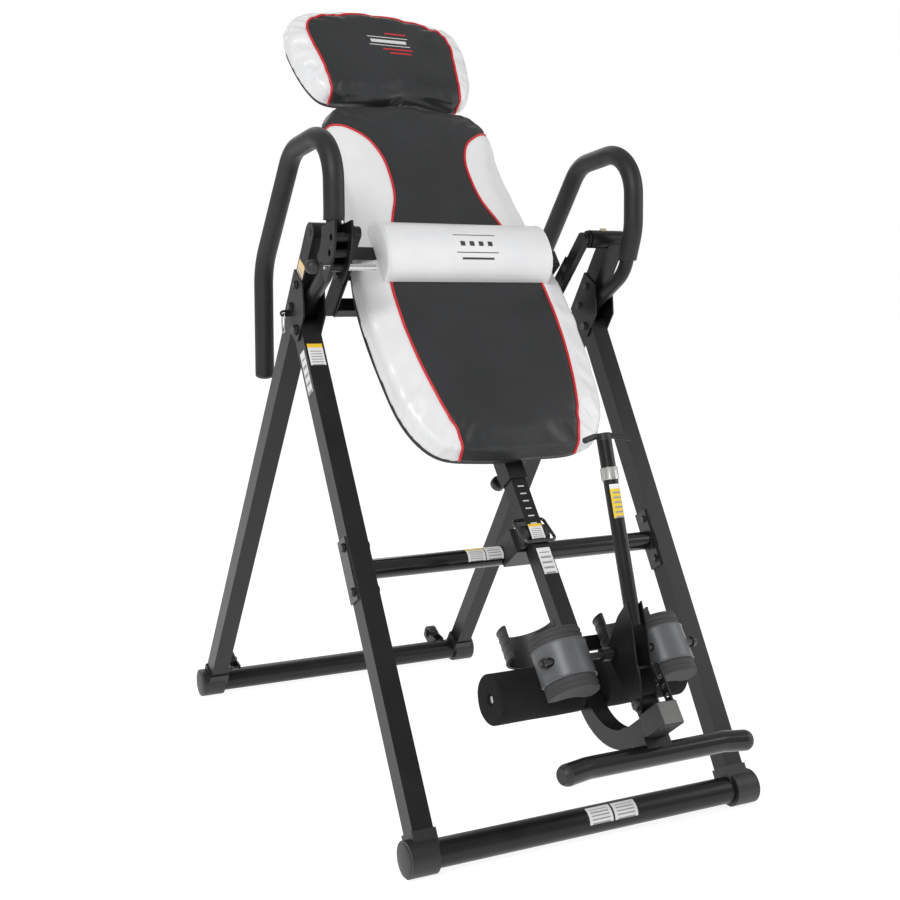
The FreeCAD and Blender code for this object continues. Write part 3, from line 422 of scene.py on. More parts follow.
# %% [markdown]
# ## Vinyl that changes colour at the seam
# The two vinyls meet in a sharp line. Reading the stored distance gives that line at any zoom, because
# a distance changes evenly across each face. A few extra touches sell it as vinyl: a leather-like grain
# made of small cells, and a soft change of gloss.

# %% Two-colour vinyl
def two_colour_vinyl(name, attribute, inside, outside):
    """Vinyl of one colour where the attribute is above zero, and another below."""
    made = bpy.data.materials.new(name)
    made.use_nodes = True
    nodes = made.node_tree.nodes
    links = made.node_tree.links
    shader = nodes["Principled BSDF"]
    place = nodes.new("ShaderNodeTexCoord")
    reader = nodes.new("ShaderNodeAttribute")
    reader.attribute_name = attribute
    above = nodes.new("ShaderNodeMath")
    above.operation = "GREATER_THAN"
    above.inputs[1].default_value = 0.0
    links.new(reader.outputs["Fac"], above.inputs[0])
    cloud = nodes.new("ShaderNodeTexNoise")
    cloud.inputs["Scale"].default_value = 9.0
    cloud.inputs["Detail"].default_value = 4.0
    links.new(place.outputs["Object"], cloud.inputs["Vector"])
    shades = []
    for dark, light in (outside, inside):
        ramp = nodes.new("ShaderNodeValToRGB")
        ramp.color_ramp.elements[0].position = 0.3
        ramp.color_ramp.elements[1].position = 0.7
        ramp.color_ramp.elements[0].color = (*dark, 1)
        ramp.color_ramp.elements[1].color = (*light, 1)
        links.new(cloud.outputs["Fac"], ramp.inputs["Fac"])
        shades.append(ramp)
    pick = nodes.new("ShaderNodeMix")
    pick.data_type = "RGBA"
    links.new(above.outputs[0], pick.inputs["Factor"])
    links.new(shades[0].outputs["Color"], pick.inputs["A"])
    links.new(shades[1].outputs["Color"], pick.inputs["B"])
    links.new(pick.outputs["Result"], shader.inputs["Base Color"])
    gloss = nodes.new("ShaderNodeMapRange")
    gloss.inputs["To Min"].default_value = 0.27
    gloss.inputs["To Max"].default_value = 0.43
    links.new(above.outputs[0], gloss.inputs["Value"])
    links.new(gloss.outputs["Result"], shader.inputs["Roughness"])
    grain = nodes.new("ShaderNodeTexVoronoi")
    grain.feature = "DISTANCE_TO_EDGE"
    grain.inputs["Scale"].default_value = 620.0
    links.new(place.outputs["Object"], grain.inputs["Vector"])
    bump = nodes.new("ShaderNodeBump")
    bump.inputs["Strength"].default_value = 0.22
    bump.inputs["Distance"].default_value = 0.0005
    links.new(grain.outputs["Distance"], bump.inputs["Height"])
    links.new(bump.outputs["Normal"], shader.inputs["Normal"])
    return made


BLACK_SHADES = ((0.015, 0.016, 0.017), (0.024, 0.025, 0.027))
WHITE_SHADES = ((0.76, 0.765, 0.775), (0.82, 0.82, 0.825))
PANEL_VINYL = two_colour_vinyl("panel_vinyl", "panel", BLACK_SHADES, WHITE_SHADES)

# %% Seam lines of the backrest and headrest
BACK_HALF_LINE = [(108, -470), (117, -448), (128, -390), (142, -340), (162, -230), (169, -120),
                  (165, -45), (140, 40), (116, 107), (98, 155), (92, 205), (97, 270), (116, 310),
                  (146, 334), (178, 350), (215, 358)]
HEAD_HALF_LINE = [(147, 424), (150, 452), (156, 515), (164, 568), (168, 604), (160, 637), (135, 658),
                  (92, 670), (45, 678), (0, 681)]
CORD_R = 0.0026
CORD_LIFT = 0.0004


def closed_panel(half, top):
    """A closed panel from its right-hand seam, mirrored, reaching up to a height."""
    right = smooth_line(half)
    left = right[::-1] * np.array([-1, 1])
    if top:
        cap = np.array([[right[-1][0], top * MM], [-right[-1][0], top * MM]])
        return np.vstack([right, cap, left])
    return np.vstack([right, left])


def cover(pad, panel):
    """Mark the panel, draw the seam in and smooth-shade a swollen pad, and give its search tree."""
    apply_modifier(pad, "SUBSURF", levels=1, render_levels=1)
    inside = side_of_line(points_of(pad)[:, :2], panel)
    draw_in(pad, inside, 0.0016, 0.006)
    keep_distance(pad, "panel", inside)
    choose(pad)
    bpy.ops.object.shade_smooth()
    return skin_of(pad)


# %% [markdown]
# ## Backrest
# The largest pad. Its seams leave the face at the upper corners and over the lower edge, so the black
# panel wraps round both ends.

# %% Backrest
def make_backrest():
    pad = foam_block("backrest_pad", "backrest_cushion", 0.006, 26)
    swell(pad, 0.008, 4.0, 0.008)
    tree = cover(pad, closed_panel(BACK_HALF_LINE, 500))
    bottom = points_of(pad)[:, 2].min() + 0.002
    line = smooth_line(BACK_HALF_LINE, 220)
    for side, sign in (("right", 1), ("left", -1)):
        seam = on_face(tree, line * np.array([sign, 1]), CORD_LIFT)
        foot = down_side(tree, seam[0], Vector((0, -1, 0)), bottom, CORD_LIFT)
        head = down_side(tree, seam[-1], Vector((sign, 0.25, 0)).normalized(), bottom, CORD_LIFT)
        cord = round_cord("backrest_piping_" + side, foot[::-1] + seam + head, CORD_R)
        cord.data.transform(TABLE)
        dress(cord, PIPING_VINYL, "table", "vinyl")
    pad.data.transform(TABLE)
    dress(pad, PANEL_VINYL, "table", "vinyl", "backrest_pad")
    return pad


BACKREST = make_backrest()
print("backrest has", len(BACKREST.data.polygons), "faces")

# %% [markdown]
# ## Headrest
# Smaller and thicker. Its red seam is one arch with rounded upper corners, and both ends run over the
# lower edge.

# %% Headrest
def make_headrest():
    pad = foam_block("headrest_pad", "headrest_cushion", 0.005, 40)
    swell(pad, 0.008, 4.0, 0.009)
    tree = cover(pad, closed_panel(HEAD_HALF_LINE, None))
    bottom = points_of(pad)[:, 2].min() + 0.002
    right = smooth_line(HEAD_HALF_LINE, 120)
    arch = np.vstack([right, right[::-1][1:] * np.array([-1, 1])])
    seam = on_face(tree, arch, CORD_LIFT)
    first = down_side(tree, seam[0], Vector((0, -1, 0)), bottom, CORD_LIFT)
    last = down_side(tree, seam[-1], Vector((0, -1, 0)), bottom, CORD_LIFT)
    cord = round_cord("headrest_piping", first[::-1] + seam + last, CORD_R)
    cord.data.transform(TABLE)
    dress(cord, PIPING_VINYL, "headrest", "vinyl")
    pad.data.transform(TABLE)
    dress(pad, PANEL_VINYL, "headrest", "vinyl", "headrest_pad")
    return pad


HEADREST = make_headrest()
print("headrest has", len(HEADREST.data.polygons), "faces")

# %% [markdown]
# ## Lumbar pad
# A white D-shaped bolster that slides up and down the backrest on its strap. Its two end discs are sewn
# on with a fine white welt, which shows as a thin raised ring.

# %% Lumbar pad
WELT_R = 0.0014


def make_lumbar():
    pad = foam_block("lumbar_pad", "lumbar_cushion", 0.004, 6)
    swell(pad, 0.004, 3.0, 0.004)
    apply_modifier(pad, "SUBSURF", levels=1, render_levels=1)
    tree = skin_of(pad)
    shape = points_of(pad)
    middle = (shape.min(0) + shape.max(0)) / 2
    half_x = shape[:, 0].max()
    base = shape[:, 2].min() + 0.001
    for side, sign in (("right", 1), ("left", -1)):
        ring = []
        for k in range(49):
            turn = math.pi * k / 48
            out = Vector((0, -math.cos(turn), max(0.0, math.sin(turn))))
            start = Vector((sign * (half_x - 0.007), middle[1], base)) + out * 0.15
            hit, normal, _, _ = tree.ray_cast(start, -out)
            if hit is not None:
                ring.append(hit + normal * 0.0003)
        welt = round_cord("lumbar_welt_" + side, ring, WELT_R)
        welt.data.transform(TABLE)
        dress(welt, WHITE_VINYL, "lumbar", "white_vinyl")
    choose(pad)
    bpy.ops.object.shade_smooth()
    pad.data.transform(TABLE)
    dress(pad, WHITE_VINYL, "lumbar", "white_vinyl", "lumbar_pad")
    return pad


LUMBAR = make_lumbar()
print("lumbar pad has", len(LUMBAR.data.polygons), "faces")

# %% [markdown]
# ## Printed rules on the pads
# The lumbar pad and the headrest carry a plain printed mark. Here it is only rules and bars, with no
# words. Each bar is a thin patch that is dropped onto the pad's surface, so it follows the swelling.

# %% Thin patches
PATCH_T = 0.0003
FLUSH = 0.00012   # for print that has to pass through the spine's bore
BARE_TREES = {}


def tree_of(node):
    """The search tree of a steel node, made once."""
    if node not in BARE_TREES:
        BARE_TREES[node] = skin_of(frame["nodes"][node])
    return BARE_TREES[node]


def patch(name, tree, centre, across, up, width, height, look, body, slot,
          cells=8, proud=PATCH_T + 0.0001):
    """A thin printed patch, dropped against its own facing direction onto a surface."""
    across, up = Vector(across).normalized(), Vector(up).normalized()
    out = across.cross(up)
    bpy.ops.object.select_all(action="DESELECT")
    bpy.ops.mesh.primitive_grid_add(x_subdivisions=cells, y_subdivisions=cells, size=1)
    made = bpy.context.object
    made.name = name
    for vertex in made.data.vertices:
        start = centre + across * vertex.co.x * width + up * vertex.co.y * height + out * 0.05
        hit, normal, _, _ = tree.ray_cast(start, -out)
        if hit is None:
            hit = start - out * 0.05
        vertex.co = hit + out * proud
    apply_modifier(made, "SOLIDIFY", thickness=PATCH_T, offset=-1.0)
    dress(made, look, body, slot)
    return made


PRINT_DARK = finish("dark_print", (0.03, 0.03, 0.035), (0.05, 0.05, 0.055), (0.4, 0.5), 900, 0.1)
PRINT_LIGHT = finish("light_print", (0.62, 0.62, 0.62), (0.72, 0.72, 0.72), (0.45, 0.55), 900, 0.2)
PRINT_RED = finish("red_print", (0.50, 0.02, 0.03), (0.60, 0.03, 0.04), (0.45, 0.55), 900, 0.2)

# %% Marks on the lumbar pad and the headrest
LUMBAR_TREE = skin_of(LUMBAR)
HEAD_TREE = skin_of(HEADREST)
LUMBAR_MARKS = [(10, 6, 92, 1.6), (10, -26, 92, 1.6), (-20, -10, 10, 10), (0, -10, 10, 10),
                (20, -10, 10, 10), (40, -10, 10, 10), (10, -38, 70, 4)]
for count, (x, y, width, height) in enumerate(LUMBAR_MARKS):
    tilt = math.radians(1.0 * y)
    face = (TO_USER * math.cos(tilt) + TO_HEAD * math.sin(tilt)).normalized()
    up = (TO_HEAD * math.cos(tilt) - TO_USER * math.sin(tilt)).normalized()
    centre = at_table(x, 8 + y, -30)
    patch("lumbar_mark_%d" % count, LUMBAR_TREE, centre, ACROSS, up, width * MM, height * MM, PRINT_DARK,
          "lumbar", "white_vinyl")
HEAD_MARKS = [(14, 606, 96, 2.0, PRINT_LIGHT), (14, 582, 96, 2.0, PRINT_LIGHT),
              (14, 594, 84, 9, PRINT_LIGHT), (36, 618, 50, 4, PRINT_RED),
              (30, 571, 70, 4, PRINT_RED), (34, 560, 50, 4, PRINT_RED)]
for count, (x, y, width, height, look) in enumerate(HEAD_MARKS):
    patch("headrest_mark_%d" % count, HEAD_TREE, at_table(x, y, -60), ACROSS, TO_HEAD,
          width * MM, height * MM, look, "headrest", "vinyl")
print(len(LUMBAR_MARKS) + len(HEAD_MARKS), "printed marks")

# %% [markdown]
# ## Stickers
# Such a machine is covered in paper labels. These are blank, with a coloured band and a few grey lines,
# so they read as labels without saying anything. The lines come from the patch's own UV map.

# %% Paper with a band and lines
def paper(name, ground, band, band_from, rows):
    """Paper with a coloured band above a height, and rows of short grey lines below it."""
    made = finish(name, tuple(0.93 * c for c in ground), ground, (0.4, 0.5), 500, 0.1, patch=60)
    nodes, links = made.node_tree.nodes, made.node_tree.links
    shader = nodes["Principled BSDF"]
    base = shader.inputs["Base Color"].links[0].from_socket
    place = nodes.new("ShaderNodeUVMap")
    parts = nodes.new("ShaderNodeSeparateXYZ")
    links.new(place.outputs["UV"], parts.inputs["Vector"])

    def sum_of(operation, first, second):
        step = nodes.new("ShaderNodeMath")
        step.operation = operation
        for socket, value in zip(step.inputs, (first, second)):
            if isinstance(value, float):
                socket.default_value = value
            else:
                links.new(value, socket)
        return step.outputs[0]

    def over(under, colour, where):
        mix = nodes.new("ShaderNodeMix")
        mix.data_type = "RGBA"
        links.new(where, mix.inputs["Factor"])
        links.new(under, mix.inputs["A"])
        mix.inputs["B"].default_value = (*colour, 1)
        return mix.outputs["Result"]

    saw = sum_of("FRACT", sum_of("MULTIPLY", parts.outputs["Y"], float(rows)), 0.0)
    stripe = sum_of("LESS_THAN", saw, 0.38)
    away = sum_of("ABSOLUTE", sum_of("SUBTRACT", parts.outputs["X"], 0.5), 0.0)
    line = sum_of("MULTIPLY", stripe, sum_of("LESS_THAN", away, 0.38))
    line = sum_of("MULTIPLY", line, sum_of("LESS_THAN", parts.outputs["Y"], band_from - 0.06))
    result = over(base, (0.30, 0.30, 0.31), line)
    result = over(result, band, sum_of("GREATER_THAN", parts.outputs["Y"], band_from))
    links.new(result, shader.inputs["Base Color"])
    return made


WHITE = (0.80, 0.80, 0.79)
YELLOW = (0.85, 0.55, 0.02)
LABEL_YELLOW_TOP = paper("label_yellow_top", WHITE, YELLOW, 0.82, 8)
LABEL_PLAIN = paper("label_plain", WHITE, WHITE, 0.9, 5)
LABEL_WARM = paper("label_warm", (0.78, 0.66, 0.48), (0.85, 0.62, 0.30), 0.6, 4)
LABEL_YELLOW = paper("label_yellow", (0.85, 0.60, 0.04), WHITE, 0.86, 7)

# %% Where the legs and bars run
FOLD = Vector(JOINTS["front_fold"]["pos_m"])


def middle_of(node):
    low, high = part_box(node)
    return (low + high) / 2


def leg_direction(base_y, top):
    """Unit vectors up a leg and out of its front face."""
    base = Vector((0, base_y, BASE_HEIGHT))
    up = Vector((0, top.y - base.y, top.z - base.z)).normalized()
    return up, Vector((0, -up.z, up.y))


BASE_Y = abs(middle_of("front_base_tube").y)
BASE_HEIGHT = middle_of("front_base_tube").z
LEG_X = abs(middle_of("front_leg_left").x)
FRONT_UP, FRONT_OUT = leg_direction(-BASE_Y, FOLD)
REAR_UP, REAR_OUT = leg_direction(BASE_Y, PIVOT)
SADDLE = Vector((0, -0.287, 0.452))   # middle of the crossbar
LEG_FACE = 0.019                      # a leg's middle line to its face
BOOM_TOP = -136                       # the boom's upper face, in the table's z

# %% [markdown]
# ## Where each sticker goes
# A sticker is one row of a table: its name, the node it lies on, its middle, the direction it is read
# along, its up direction, its size in millimetres, its paper, its body and its slot.

# %% Stickers on the stand
LEG_TOP = Vector((-LEG_X, FOLD.y, FOLD.z))
LEG_SIDE = Vector((-LEG_FACE, 0, 0))
BASE_TUBE = middle_of("front_base_tube")
BAR_UP = Vector((0, 0.66, 0.75)).normalized()
HOUSING_UP = Vector((0, 0.7, 0.7))
REAR_SPOT = PIVOT - REAR_UP * 0.082 + Vector((-LEG_X - LEG_FACE, 0, 0))
STAND_STICKERS = [
    ("label_front_leg", "front_leg_left", LEG_TOP - FRONT_UP * 0.062 + FRONT_OUT * LEG_FACE,
     ACROSS, FRONT_UP, 30, 44, LABEL_YELLOW_TOP, "front_frame", "black_steel"),
    ("label_leg_side", "front_leg_left", LEG_TOP + LEG_SIDE - FRONT_UP * 0.090,
     FRONT_OUT, FRONT_UP, 22, 85, LABEL_PLAIN, "front_frame", "black_steel"),
    ("label_crossbar_0", "crossbar", SADDLE - ACROSS * 0.092,
     ACROSS, BAR_UP, 36, 26, LABEL_YELLOW_TOP, "front_frame", "gloss_steel"),
    ("label_crossbar_1", "crossbar", SADDLE - ACROSS * 0.054,
     ACROSS, BAR_UP, 36, 26, LABEL_PLAIN, "front_frame", "gloss_steel"),
    ("label_base_0", "front_base_tube", Vector((0.010, BASE_TUBE.y, BASE_TUBE.z)),
     ACROSS, BAR_UP, 48, 30, LABEL_PLAIN, "front_frame", "black_steel"),
    ("label_base_1", "front_base_tube", Vector((0.062, BASE_TUBE.y, BASE_TUBE.z)),
     ACROSS, BAR_UP, 48, 30, LABEL_PLAIN, "front_frame", "black_steel"),
    ("label_rear_leg", "rear_leg_left", REAR_SPOT,
     REAR_OUT, REAR_UP, 30, 34, LABEL_WARM, "rear_frame", "black_steel"),
    ("label_housing", "pivot_housings", PIVOT + Vector((0.300, 0, 0.018)),
     ACROSS, HOUSING_UP, 16, 12, LABEL_YELLOW, "rear_frame", "black_steel"),
]


def stick(rows):
    for name, node, spot, across, up, width, height, look, body, slot in rows:
        patch(name, tree_of(node), spot, across, up, width * MM, height * MM, look, body, slot)
    print(len(rows), "stickers")


stick(STAND_STICKERS)

# %% Stickers on the boom and the lever
LEVER_UP = (middle_of("lever_grip") - middle_of("lever_plates")).normalized()
LEVER_UP = Vector((0, LEVER_UP.y, LEVER_UP.z)).normalized()
stick([
    ("label_boom_upper", "boom_tube", at_table(0, -570, BOOM_TOP),
     ACROSS, TO_HEAD, 28, 30, LABEL_YELLOW_TOP, "boom", "black_steel"),
    ("label_boom_lower", "boom_tube", at_table(0, -630, BOOM_TOP),
     ACROSS, TO_HEAD, 28, 52, LABEL_PLAIN, "boom", "black_steel"),
])
MARK_FIRST, MARK_PITCH = -476, 15.5
for count in range(6):
    place = at_table(0, MARK_FIRST - MARK_PITCH * count, BOOM_TOP)
    patch("height_mark_%d" % count, tree_of("boom_tube"), place, ACROSS, TO_HEAD, 0.013, 0.0024,
          PRINT_LIGHT, "boom", "black_steel", cells=3, proud=FLUSH)
stick([("label_lever", "lever_tube", middle_of("lever_collar") - LEVER_UP * 0.046,
        ACROSS, LEVER_UP, 20, 56, LABEL_YELLOW, "lever", "black_steel")])

# %% [markdown]
# ## Foam rollers
# Each roller is a thick foam sleeve, cut square and then rounded by use, with a recess where the shaft
# comes through. A cylinder is added at the roller's own size, its ends are inset and pushed in, the rims
# are bevelled, and a slow cloud texture presses shallow dents into it.

# %% Foam rollers
DENTS = bpy.data.textures.new("foam_dents", "CLOUDS")
DENTS.noise_scale = 0.05
ROLLER_CUTS = 18      # rings along a roller, so that the dents have points to move
SHAFT_RIM = 0.010     # radius left flat round the shaft


def foam_roller(side):
    low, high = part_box("roller_" + side)
    radius = (high.z - low.z) / 2
    bpy.ops.object.select_all(action="DESELECT")
    bpy.ops.mesh.primitive_cylinder_add(vertices=64, radius=radius - 0.0006, depth=high.x - low.x,
                                        location=(low + high) / 2, rotation=(0, math.pi / 2, 0))
    roller = bpy.context.object
    roller.name = "foam_roller_" + side
    settle(roller)
    bpy.ops.object.mode_set(mode="EDIT")
    bpy.ops.mesh.select_all(action="DESELECT")
    bpy.ops.mesh.select_mode(type="FACE")
    bpy.ops.object.mode_set(mode="OBJECT")
    for face in roller.data.polygons:
        face.select = abs(face.normal.x) > 0.9
    bpy.ops.object.mode_set(mode="EDIT")
    bpy.ops.mesh.inset(thickness=radius - SHAFT_RIM)
    bpy.ops.mesh.extrude_region_shrink_fatten(TRANSFORM_OT_shrink_fatten={"value": -0.006})
    bpy.ops.object.mode_set(mode="OBJECT")
    bevel(roller, 0.007, 5)
    choose(roller)
    bpy.ops.object.mode_set(mode="EDIT")
    for place in range(1, ROLLER_CUTS):
        x = low.x + (high.x - low.x) * place / ROLLER_CUTS
        bpy.ops.mesh.select_all(action="SELECT")
        bpy.ops.mesh.bisect(plane_co=(x, 0, 0), plane_no=(1, 0, 0))
    bpy.ops.object.mode_set(mode="OBJECT")
    apply_modifier(roller, "DISPLACE", texture=DENTS, texture_coords="LOCAL", strength=0.0016,
                   mid_level=0.8)
    choose(roller)
    bpy.ops.object.shade_smooth_by_angle(angle=math.radians(40))
    dress(roller, ROLLER_FOAM, "roller_" + side, "roller_foam", "roller_" + side)


for side in ("left", "right"):
    foam_roller(side)
print("two foam rollers")

# %% [markdown]
# ## Ribs and rims on the ankle lock
# Thin plastic shells are stiffened by a thick rim and a few ribs. Both are round beads that follow the
# shell, so they are cords along arcs. The heel cups lie round an axis along the boom, and so do the
# bands round the ankle pads.

# %% Beads along arcs
def arc(centre_x, centre_z, radius, first, last, y, count=33):
    """Points of an arc in the table's x and z, at one y, in metres."""
    turns = np.radians(np.linspace(first, last, count))
    return [Vector((centre_x + radius * math.cos(turn), y, centre_z + radius * math.sin(turn))) * MM
            for turn in turns]


def join(pieces, name):
    """Several meshes as one piece."""
    choose(pieces[0])
    for piece in pieces:
        piece.select_set(True)
    bpy.ops.object.join()
    made = bpy.context.object
    made.name = name
    return made


def in_table(obj):
    """The object's lowest and highest corners in the table's frame, in millimetres."""
    shape = points_of(obj)
    shape = np.array([tuple(TABLE.inverted() @ Vector(p)) for p in shape]) / MM
    return shape.min(0), shape.max(0)


CUP_R = 52.0
CUP_LOW, CUP_HIGH = in_table(frame["nodes"]["heel_cups"])
CUP_X = CUP_HIGH[0] - CUP_R
CUP_AXIS_Z = CUP_LOW[2] + CUP_R
beads = []
for side in (-1, 1):
    for share in (0.0, 0.25, 0.5, 0.75, 1.0):
        y = CUP_LOW[1] + 1.5 + (CUP_HIGH[1] - CUP_LOW[1] - 3.0) * share
        thick = 0.0021 if share in (0.0, 1.0) else 0.0013
        path = arc(side * CUP_X, CUP_AXIS_Z, CUP_R - 0.4, -192, 12, y)
        beads.append(round_cord("bead", path, thick))
ribs = join(beads, "heel_cup_ribs")
ribs.data.transform(TABLE)
dress(ribs, BLACK_PLASTIC, "boom", "black_plastic")

# %% Rims of the ankle bands and folds of their pads
BAND_R = 47.0
for side in ("left", "right"):
    low, high = in_table(frame["nodes"]["ankle_pad_band_" + side])
    middle_x = (low[0] + high[0]) / 2
    axis_z = high[2] - BAND_R
    beads = [round_cord("bead", arc(middle_x, axis_z, BAND_R - 0.6, -16, 196, y), 0.0017)
             for y in (low[1] + 1.8, high[1] - 1.8)]
    rims = join(beads, "ankle_band_rims_" + side)
    rims.data.transform(TABLE)
    dress(rims, GREY_PLASTIC, "cup_" + side, "grey_plastic")
    beads = [round_cord("bead", arc(middle_x, axis_z, BAND_R - 2.8, -2, 182, y, 25), 0.0011)
             for y in (low[1] - 10, low[1] - 18, high[1] + 10, high[1] + 18)]
    folds = join(beads, "ankle_pad_seams_" + side)
    folds.data.transform(TABLE)
    dress(folds, ANKLE_FOAM, "cup_" + side, "ankle_foam")
print("ribs and rims are on")

# %% [markdown]
# ## Ribbed collar, grip ends and cap faces
# Small turned and moulded things: the bright collar on the lever has fine lengthwise ribs, the foam
# grips end in a closed dome, and each end cap of the base has a slightly raised round face.

# %% Ribbed collar
def ribbed_collar():
    bpy.ops.object.select_all(action="DESELECT")
    turn = Vector((0, 0, 1)).rotation_difference(LEVER_UP).to_euler()
    bpy.ops.mesh.primitive_cylinder_add(vertices=96, radius=0.0149, depth=0.0204,
                                        location=middle_of("lever_collar"), rotation=turn)
    collar = bpy.context.object
    collar.name = "collar_ribs"
    shape = points_of(collar)
    corner = np.round(np.degrees(np.arctan2(shape[:, 1], shape[:, 0])) / 3.75).astype(int)
    shape[:, :2] *= np.where((corner // 2) % 2 == 0, 1.0, 0.955)[:, None]
    set_points(collar, shape)
    settle(collar)
    bevel(collar, 0.0006, 2)
    dress(collar, ZINC, "lever", "zinc")


ribbed_collar()

# %% Grip ends and cap faces
def dome(name, centre, radius, height, axis, look, body, slot):
    """Half a squashed ball, bulging along an axis."""
    bpy.ops.object.select_all(action="DESELECT")
    turn = Vector((0, 0, 1)).rotation_difference(Vector(axis)).to_euler()
    bpy.ops.mesh.primitive_uv_sphere_add(segments=48, ring_count=24, radius=radius,
                                         location=centre, rotation=turn)
    made = bpy.context.object
    made.name = name
    made.scale = (1, 1, height / radius)
    settle(made)
    choose(made)
    bpy.ops.object.mode_set(mode="EDIT")
    bpy.ops.mesh.select_all(action="SELECT")
    bpy.ops.mesh.bisect(plane_co=centre, plane_no=axis, clear_inner=True, use_fill=True)
    bpy.ops.mesh.select_all(action="SELECT")
    bpy.ops.mesh.normals_make_consistent(inside=False)
    bpy.ops.object.mode_set(mode="OBJECT")
    choose(made)
    bpy.ops.object.shade_smooth_by_angle(angle=math.radians(50))
    dress(made, look, body, slot)


for side in ("left", "right"):
    grip = points_of(frame["nodes"]["handle_grip_" + side])
    lowest = grip[grip[:, 2] < grip[:, 2].min() + 0.001]
    centre = Vector((lowest.min(0) + lowest.max(0)) / 2)
    dome("grip_end_" + side, centre, 0.0188, 0.008, (0, 0, -1), GRIP_FOAM, "rear_frame", "grip_foam")
for end, at_y in (("rear", BASE_Y), ("front", -BASE_Y)):
    low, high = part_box(end + "_base_caps")
    for side, x, sign in (("left", low.x, -1), ("right", high.x, 1)):
        dome("cap_face_%s_%s" % (end, side), Vector((x, at_y, BASE_HEIGHT)), 0.0265, 0.0035,
             (sign, 0, 0), BLACK_PLASTIC, end + "_frame", "black_plastic")
print("grip ends and cap faces")

# %% [markdown]
# ## Washers and weld beads
# Nothing says bolted and welded steel like the small things at its joints. Every bolt gets a washer
# under its head and its nut. The bolts are found by separating a copy of the bolt node into loose
# parts. A weld is a ring of small overlapping puddles: a torus whose thickness ripples.

# %% Washers
def loose_boxes(node):
    """Lowest and highest corners of each separate solid in a node."""
    copy = copy_node(node, "loose")
    choose(copy)
    bpy.ops.mesh.separate(type="LOOSE")
    parts = list(bpy.context.selected_objects)
    boxes = []
    for part in parts:
        shape = points_of(part)
        boxes.append((Vector(shape.min(0)), Vector(shape.max(0))))
    for part in parts:
        bpy.data.objects.remove(part)
    return boxes


def washer(x, y, z, radius):
    bpy.ops.object.select_all(action="DESELECT")
    bpy.ops.mesh.primitive_cylinder_add(vertices=40, radius=radius, depth=0.0012, location=(x, y, z),
                                        rotation=(0, math.pi / 2, 0))
    made = bpy.context.object
    settle(made)
    bevel(made, 0.0004, 2)
    return made


# Sizes of a bolt as shares of its shank's radius.
HEX_SPAN = 3.695
NUT_DEEP = 1.1
HEAD_DEEP = 1.3
WASHER_WIDE = 2.15
BOLTED = (("rear_frame_bolts", "rear_frame"), ("crossbar_bolts", "front_frame"), ("lever_bolt", "boom"))
for node, body in BOLTED:
    rings = []
    for low, high in loose_boxes(node):
        shank = (high.z - low.z) / HEX_SPAN
        middle = (low + high) / 2
        for x in (low.x + NUT_DEEP * shank - 0.0006, high.x - HEAD_DEEP * shank + 0.0006):
            rings.append(washer(x, middle.y, middle.z, WASHER_WIDE * shank))
    made = join(rings, node + "_washers")
    dress(made, DARK_ZINC, body, "zinc")
    print(node, "has", len(rings), "washers")

# %% Weld beads
PUDDLE = 0.0022   # the ripple's length round the bead, over two pi


def weld_ring(x, place, radius, thick):
    """A rippled bead round a bar along X, which runs through the place."""
    bpy.ops.object.select_all(action="DESELECT")
    bpy.ops.mesh.primitive_torus_add(major_segments=96, minor_segments=10, major_radius=radius,
                                     minor_radius=thick, location=(x, place.y, place.z),
                                     rotation=(0, math.pi / 2, 0))
    bead = bpy.context.object
    shape = points_of(bead)
    turn = np.arctan2(shape[:, 1], shape[:, 0])
    ring = np.stack([np.cos(turn), np.sin(turn), np.zeros_like(turn)], axis=1) * radius
    ripple = 1.0 + 0.16 * np.sin(turn * radius / PUDDLE)
    set_points(bead, ring + (shape - ring) * ripple[:, None])
    settle(bead)
    return bead


WELDS = (
    ("crossbar_welds", "front_frame", LEG_X - 0.022, SADDLE, 0.018, 0.0022),
    ("axle_welds", "table", 0.2575, PIVOT, 0.0152, 0.0016),
)
for name, body, x, place, radius, thick in WELDS:
    welds = join([weld_ring(sign * x, place, radius, thick) for sign in (-1, 1)], name)
    dress(welds, BLACK_STEEL, body, "black_steel")
print("weld beads are on")

# %% [markdown]
# ## End block
# The boom ends in a square plastic block. Its sides are black, and only its face is a lighter grey, so
# the face is a thin bevelled plate of its own.

# %% Face of the end block
BLOCK_HALF = 20
FACE_T = 0.0016
block_low, block_high = in_table(frame["nodes"]["boom_end_block"])
bpy.ops.object.select_all(action="DESELECT")
bpy.ops.mesh.primitive_cube_add(size=1)
FACE = bpy.context.object
FACE.name = "end_block_face"
FACE.scale = (0.036, 0.036, FACE_T)
FACE.location = (0, (block_low[1] + BLOCK_HALF) * MM, block_high[2] * MM + FACE_T / 2)
settle(FACE)
bevel(FACE, 0.0007, 3)
FACE.data.transform(TABLE)
dress(FACE, LIGHT_PLASTIC, "boom", "light_plastic")
frame["nodes"]["boom_end_block"].data.materials[0] = BLACK_PLASTIC
print("end block has its face")

# %% [markdown]
# ## Floor, light and camera
# White studio paper that glows a little, so that the floor runs into the background. A large soft light
# hangs above and in front on the left, a weaker one on the right and one behind. The sky looks white but
# lights the object only half as much, which keeps the dark steel dark.
# The camera stands low on the left, in front, with a normal lens.

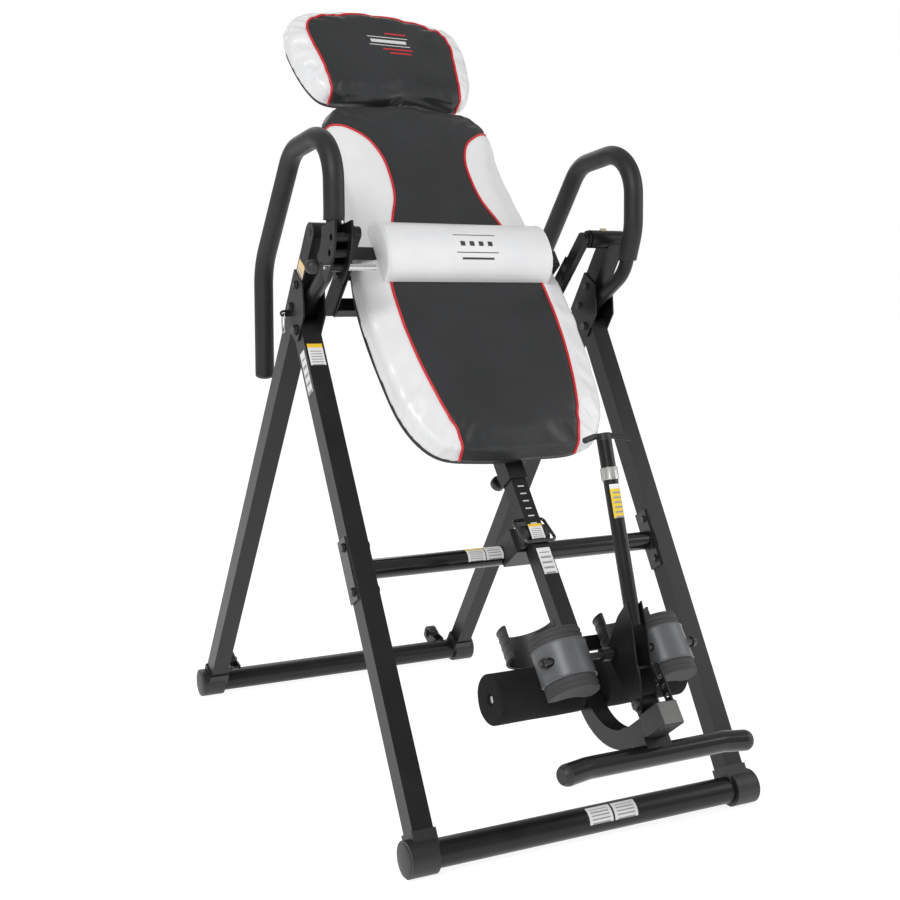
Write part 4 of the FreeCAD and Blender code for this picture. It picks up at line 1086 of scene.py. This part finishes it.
# %% Stage
bpy.ops.object.select_all(action="DESELECT")
bpy.ops.mesh.primitive_plane_add(size=60, location=(0, 0, 0))
FLOOR = bpy.context.object
FLOOR.name = "floor"
PAPER_WHITE = finish("studio_paper", (0.30,) * 3, (0.31,) * 3, (0.8, 0.9), 60, 0.02, specular=0.1)
glow = PAPER_WHITE.node_tree.nodes["Principled BSDF"].inputs
glow["Emission Color"].default_value = (1, 1, 1, 1)
glow["Emission Strength"].default_value = 0.88
FLOOR.data.materials.append(PAPER_WHITE)


def soft_light(name, place, target, size, power):
    """A square area light aimed at a point."""
    data = bpy.data.lights.new(name, "AREA")
    data.energy = power
    data.size = size
    lamp = bpy.data.objects.new(name, data)
    lamp.location = place
    lamp.rotation_euler = (Vector(target) - Vector(place)).to_track_quat("-Z", "Y").to_euler()
    bpy.context.scene.collection.objects.link(lamp)


CENTRE = (0, -0.1, 0.8)
soft_light("key", (-2.4, -2.6, 3.2), CENTRE, 1.6, 78)
soft_light("fill", (3.0, -1.8, 2.0), CENTRE, 2.0, 26)
soft_light("back", (0.5, 3.0, 2.8), CENTRE, 2.5, 30)
bpy.context.scene.view_settings.view_transform = "Standard"
WORLD = bpy.data.worlds.new("pale_sky")
WORLD.use_nodes = True
sky = WORLD.node_tree.nodes
sky["Background"].inputs["Color"].default_value = (1, 1, 1, 1)
sky["Background"].inputs["Strength"].default_value = 0.45
seen = sky.new("ShaderNodeBackground")
seen.inputs["Color"].default_value = (1, 1, 1, 1)
seen.inputs["Strength"].default_value = 1.0
ray = sky.new("ShaderNodeLightPath")
either = sky.new("ShaderNodeMixShader")
WORLD.node_tree.links.new(ray.outputs["Is Camera Ray"], either.inputs["Fac"])
WORLD.node_tree.links.new(sky["Background"].outputs[0], either.inputs[1])
WORLD.node_tree.links.new(seen.outputs[0], either.inputs[2])
WORLD.node_tree.links.new(either.outputs[0], sky["World Output"].inputs["Surface"])
bpy.context.scene.world = WORLD

# %% Camera
CAMERA = bpy.data.cameras.new("camera")
CAMERA.lens = 52.92
CAMERA.sensor_width = 36.0
VIEW = bpy.data.objects.new("camera", CAMERA)
VIEW.location = (-1.2429, -2.3738, 0.9402)
VIEW.rotation_euler = tuple(math.radians(a) for a in (90 - 6.89, -0.18, -27.85))
bpy.context.scene.collection.objects.link(VIEW)
bpy.context.scene.camera = VIEW
print("camera is", round((Vector(CENTRE) - VIEW.location).length, 2), "m away")
